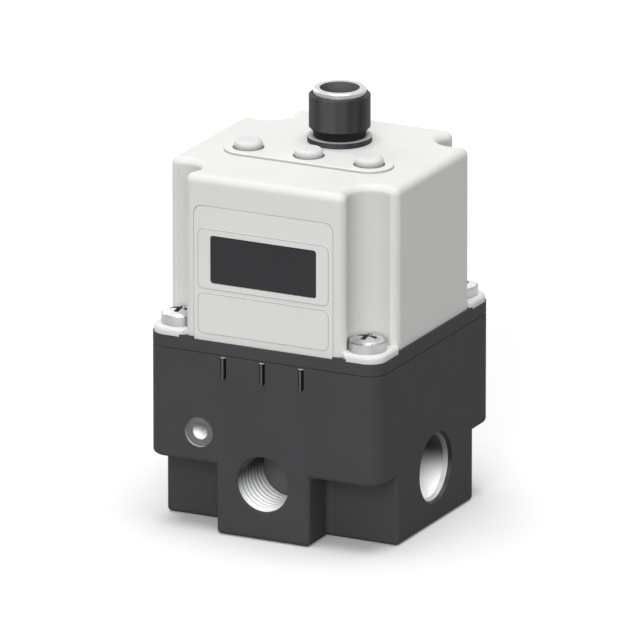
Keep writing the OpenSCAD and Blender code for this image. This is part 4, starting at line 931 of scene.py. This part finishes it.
class REGULATOR_OT_valve(bpy.types.Operator):
    """Finishes the valve, makes the diaphragm in two and winds the valve spring from round wire."""

    bl_idname = "regulator.valve"
    bl_label = "Valve"

    def execute(self, context):
        colours = context.scene.regulator_finishes
        sizes = context.scene.regulator_details
        middle = (0, 0, 0)
        dress(("upper_disc", "lower_disc", "stem_nut", "bottom_plug", "retaining_ring"), turned_metal(
            "Turned steel", colours.steel, middle, pitch=0.2 * MM, rough=0.35))
        dress(("valve_stem", "supply_valve"), turned_metal(
            "Turned brass", colours.brass, middle, pitch=0.2 * MM, rough=0.3))
        rubber = soft_rubber("Valve rubber", colours.rubber)
        dress(("diaphragm", "plug_o_rings", "guide_o_ring"), rubber)
        self.split_diaphragm(sizes, rubber)
        self.wind_spring(sizes, plated_metal("Spring wire", colours.steel, rough=0.28))
        return {"FINISHED"}

    def wind_spring(self, sizes, material):
        """Winds the valve spring as one fixed piece; the real spring shortens as the valve opens."""
        low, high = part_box("valve_spring")
        wire_r = sizes.wire / 2
        coil_r = high.x - wire_r
        rise = high.z - low.z - 2 * wire_r
        sides, per_turn = 12, 36
        steps = round(sizes.spring_turns * per_turn)
        points = []
        for step in range(steps + 1):
            angle = FULL_TURN * step / per_turn
            share = step / steps
            gentle = 0.5 * (1 - math.cos(math.pi * share))
            height = low.z + wire_r + rise * (gentle * (1 - EVEN_RISE) + EVEN_RISE * share)
            centre = Vector((coil_r * math.cos(angle), coil_r * math.sin(angle), height))
            out = Vector((math.cos(angle), math.sin(angle), 0))
            for k in range(sides):
                round_wire = FULL_TURN * k / sides
                aside = out * wire_r * math.cos(round_wire)
                points.append(centre + aside + Vector((0, 0, wire_r * math.sin(round_wire))))
        ends = [tuple(range(sides)), tuple(range(steps * sides, (steps + 1) * sides))]
        faces = ends + ring_faces(steps + 1, sides, closed=False)
        spring = new_piece("wound_spring", points, faces, material, "housing")
        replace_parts(spring, "valve_spring")
        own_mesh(spring)

    def split_diaphragm(self, sizes, rubber):
        """Makes the diaphragm in two: its middle moves with the discs and its roll stays with the body."""
        low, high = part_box("diaphragm")
        thick = sizes.rubber_sheet
        roll_r = high.z - low.z - thick
        disc_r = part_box("upper_disc")[1].x
        roll_at = disc_r + roll_r
        top, bottom = high.z, high.z - thick
        steps = 16

        def roll(level):
            angles = [math.pi * (1 + step / steps) for step in range(steps + 1)]
            radii = [max(disc_r + SLACK, roll_at + roll_r * math.cos(angle)) for angle in angles]
            return [(radius, level + roll_r * math.sin(angle)) for radius, angle in zip(radii, angles)]

        over, under = roll(top), roll(bottom)[::-1]
        edge = [(high.x, top), (high.x, bottom)]
        hole_r, middle_r = sizes.stem_hole, disc_r - SLACK
        middle = [(hole_r, bottom), (middle_r, bottom), (middle_r, top), (hole_r, top)]
        for name, section, body in (("diaphragm_rim", over + edge + under, "housing"),
                                    ("diaphragm_middle", middle, "diaphragm_unit")):
            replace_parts(turned_piece(name, section, rubber, body), "diaphragm")


def seen_share(tree):
    """Socket that is 1 for what the camera sees, straight or in gloss and glass, and 0 for other light."""
    rays = tree.nodes.new("ShaderNodeLightPath")
    total = rays.outputs["Is Camera Ray"]
    for name in ("Is Glossy Ray", "Is Transmission Ray"):
        both = tree.nodes.new("ShaderNodeMath")
        both.operation = "MAXIMUM"
        tree.links.new(total, both.inputs[0])
        tree.links.new(rays.outputs[name], both.inputs[1])
        total = both.outputs[0]
    return total


class REGULATOR_OT_stage(bpy.types.Operator):
    """Sets the pale floor, the soft light and the camera."""

    bl_idname = "regulator.stage"
    bl_label = "Stage"

    def execute(self, context):
        scene, stage = context.scene, context.scene.regulator_stage
        self.make_world(scene, stage)
        self.make_floor(scene, stage)
        self.make_lamp(scene, "key_lamp", stage.key, stage.key_from, stage.lamp_spread)
        self.make_lamp(scene, "fill_lamp", stage.fill, stage.fill_from, stage.lamp_spread)
        self.make_lamp(scene, "rear_lamp", stage.rear, stage.rear_from, stage.lamp_spread)
        port_lamp = self.make_lamp(scene, "port_lamp", stage.port, stage.port_from, stage.lamp_spread)
        port_lamp.light_linking.receiver_collection = bpy.data.collections[LININGS]
        self.make_camera(scene, stage)
        scene.view_settings.view_transform = "Standard"
        return {"FINISHED"}

    def make_world(self, scene, stage):
        """Even white sky, brighter to the camera than on the part."""
        world = bpy.data.worlds.new("Studio sky")
        world.use_nodes = True
        tree = world.node_tree
        background = tree.nodes["Background"]
        background.inputs["Color"].default_value = (1, 1, 1, 1)
        strength = tree.nodes.new("ShaderNodeMapRange")
        strength.inputs["To Min"].default_value = stage.sky
        strength.inputs["To Max"].default_value = 1.0
        tree.links.new(seen_share(tree), strength.inputs["Value"])
        tree.links.new(strength.outputs["Result"], background.inputs["Strength"])
        scene.world = world

    def make_floor(self, scene, stage):
        """White floor just below the part, which throws less light back at the part than to the camera."""
        half = stage.floor_size / 2
        mesh = bpy.data.meshes.new("floor")
        corners = [(x * half, y * half, 0) for x, y in ((-1, -1), (1, -1), (1, 1), (-1, 1))]
        mesh.from_pydata(corners, [], [(0, 1, 2, 3)])
        material = bpy.data.materials.new("Pale floor")
        material.use_nodes = True
        tree = material.node_tree
        seen = seen_share(tree)
        shader = tree.nodes["Principled BSDF"]
        shader.inputs["Roughness"].default_value = 1.0
        shader.inputs["Specular IOR Level"].default_value = 0.0
        shader.inputs["Emission Color"].default_value = (1, 1, 1, 1)
        mix = tree.nodes.new("ShaderNodeMix")
        mix.data_type = "RGBA"
        mix.inputs["A"].default_value = (stage.bounce, stage.bounce, stage.bounce, 1)
        mix.inputs["B"].default_value = (FLOOR_WHITE, FLOOR_WHITE, FLOOR_WHITE, 1)
        tree.links.new(seen, mix.inputs["Factor"])
        tree.links.new(mix.outputs["Result"], shader.inputs["Base Color"])
        lift = tree.nodes.new("ShaderNodeMapRange")
        lift.inputs["To Max"].default_value = stage.floor_lift
        tree.links.new(seen, lift.inputs["Value"])
        tree.links.new(lift.outputs["Result"], shader.inputs["Emission Strength"])
        mesh.materials.append(material)
        floor = bpy.data.objects.new("floor", mesh)
        floor.location = (0, 0, CAD_BOX[0].z - FLOOR_GAP)
        scene.collection.objects.link(floor)

    def make_lamp(self, scene, name, strength, toward, spread):
        """Soft lamp far away, toward a direction from the part."""
        lamp = bpy.data.lights.new(name, "SUN")
        lamp.energy = strength
        lamp.angle = spread
        holder = bpy.data.objects.new(name, lamp)
        holder.rotation_euler = Vector(toward).to_track_quat("Z", "Y").to_euler()
        holder.location = Vector(toward).normalized()
        scene.collection.objects.link(holder)
        return holder

    def make_camera(self, scene, stage):
        """Camera at the photograph's viewing angle."""
        az, el = stage.azimuth, stage.elevation
        right = Vector((math.cos(az), math.sin(az), 0))
        back = Vector((math.sin(az) * math.cos(el), -math.cos(az) * math.cos(el), math.sin(el)))
        camera = bpy.data.cameras.new("camera")
        camera.sensor_width = 36
        camera.lens = stage.focal
        camera.clip_start = 0.1
        camera.clip_end = 20
        holder = bpy.data.objects.new("camera", camera)
        target = Vector((0, 0, stage.aim_height)) - right * stage.aim_aside
        holder.location = target + back * stage.distance
        holder.rotation_euler = back.to_track_quat("Z", "Y").to_euler()
        scene.collection.objects.link(holder)
        scene.camera = holder


OPERATORS = (
    REGULATOR_OT_body,
    REGULATOR_OT_port_threads,
    REGULATOR_OT_cover,
    REGULATOR_OT_front_panel,
    REGULATOR_OT_buttons,
    REGULATOR_OT_screws,
    REGULATOR_OT_connector,
    REGULATOR_OT_electronics,
    REGULATOR_OT_valve,
    REGULATOR_OT_stage,
)


class REGULATOR_PT_sidebar(bpy.types.Panel):
    """Lists the steps that dress the regulator, with their sizes and colours."""

    bl_idname = "REGULATOR_PT_sidebar"
    bl_label = "Regulator"
    bl_space_type = "VIEW_3D"
    bl_region_type = "UI"
    bl_category = "Regulator"

    def draw(self, context):
        scene = context.scene
        for operator in OPERATORS:
            self.layout.operator(operator.bl_idname)
        for group in (scene.regulator_finishes, scene.regulator_details, scene.regulator_stage):
            box = self.layout.box()
            for name in group.bl_rna.properties.keys():
                if name not in {"rna_type", "name"}:
                    box.prop(group, name)


CLASSES = (RegulatorFinishes, RegulatorDetails, RegulatorStage, *OPERATORS, REGULATOR_PT_sidebar)


def register():
    """Adds the classes and the scene's properties."""
    for cls in CLASSES:
        bpy.utils.register_class(cls)
    bpy.types.Scene.regulator_finishes = bpy.props.PointerProperty(type=RegulatorFinishes)
    bpy.types.Scene.regulator_details = bpy.props.PointerProperty(type=RegulatorDetails)
    bpy.types.Scene.regulator_stage = bpy.props.PointerProperty(type=RegulatorStage)


def unregister():
    """Takes the scene's properties and the classes away."""
    del bpy.types.Scene.regulator_stage
    del bpy.types.Scene.regulator_details
    del bpy.types.Scene.regulator_finishes
    for cls in reversed(CLASSES):
        bpy.utils.unregister_class(cls)


def main():
    """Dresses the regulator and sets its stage."""
    register()
    bpy.ops.regulator.body()
    bpy.ops.regulator.port_threads()
    bpy.ops.regulator.cover()
    bpy.ops.regulator.front_panel()
    bpy.ops.regulator.buttons()
    bpy.ops.regulator.screws()
    bpy.ops.regulator.connector()
    bpy.ops.regulator.electronics()
    bpy.ops.regulator.valve()
    bpy.ops.regulator.stage()


if __name__ == "__main__":
    main()
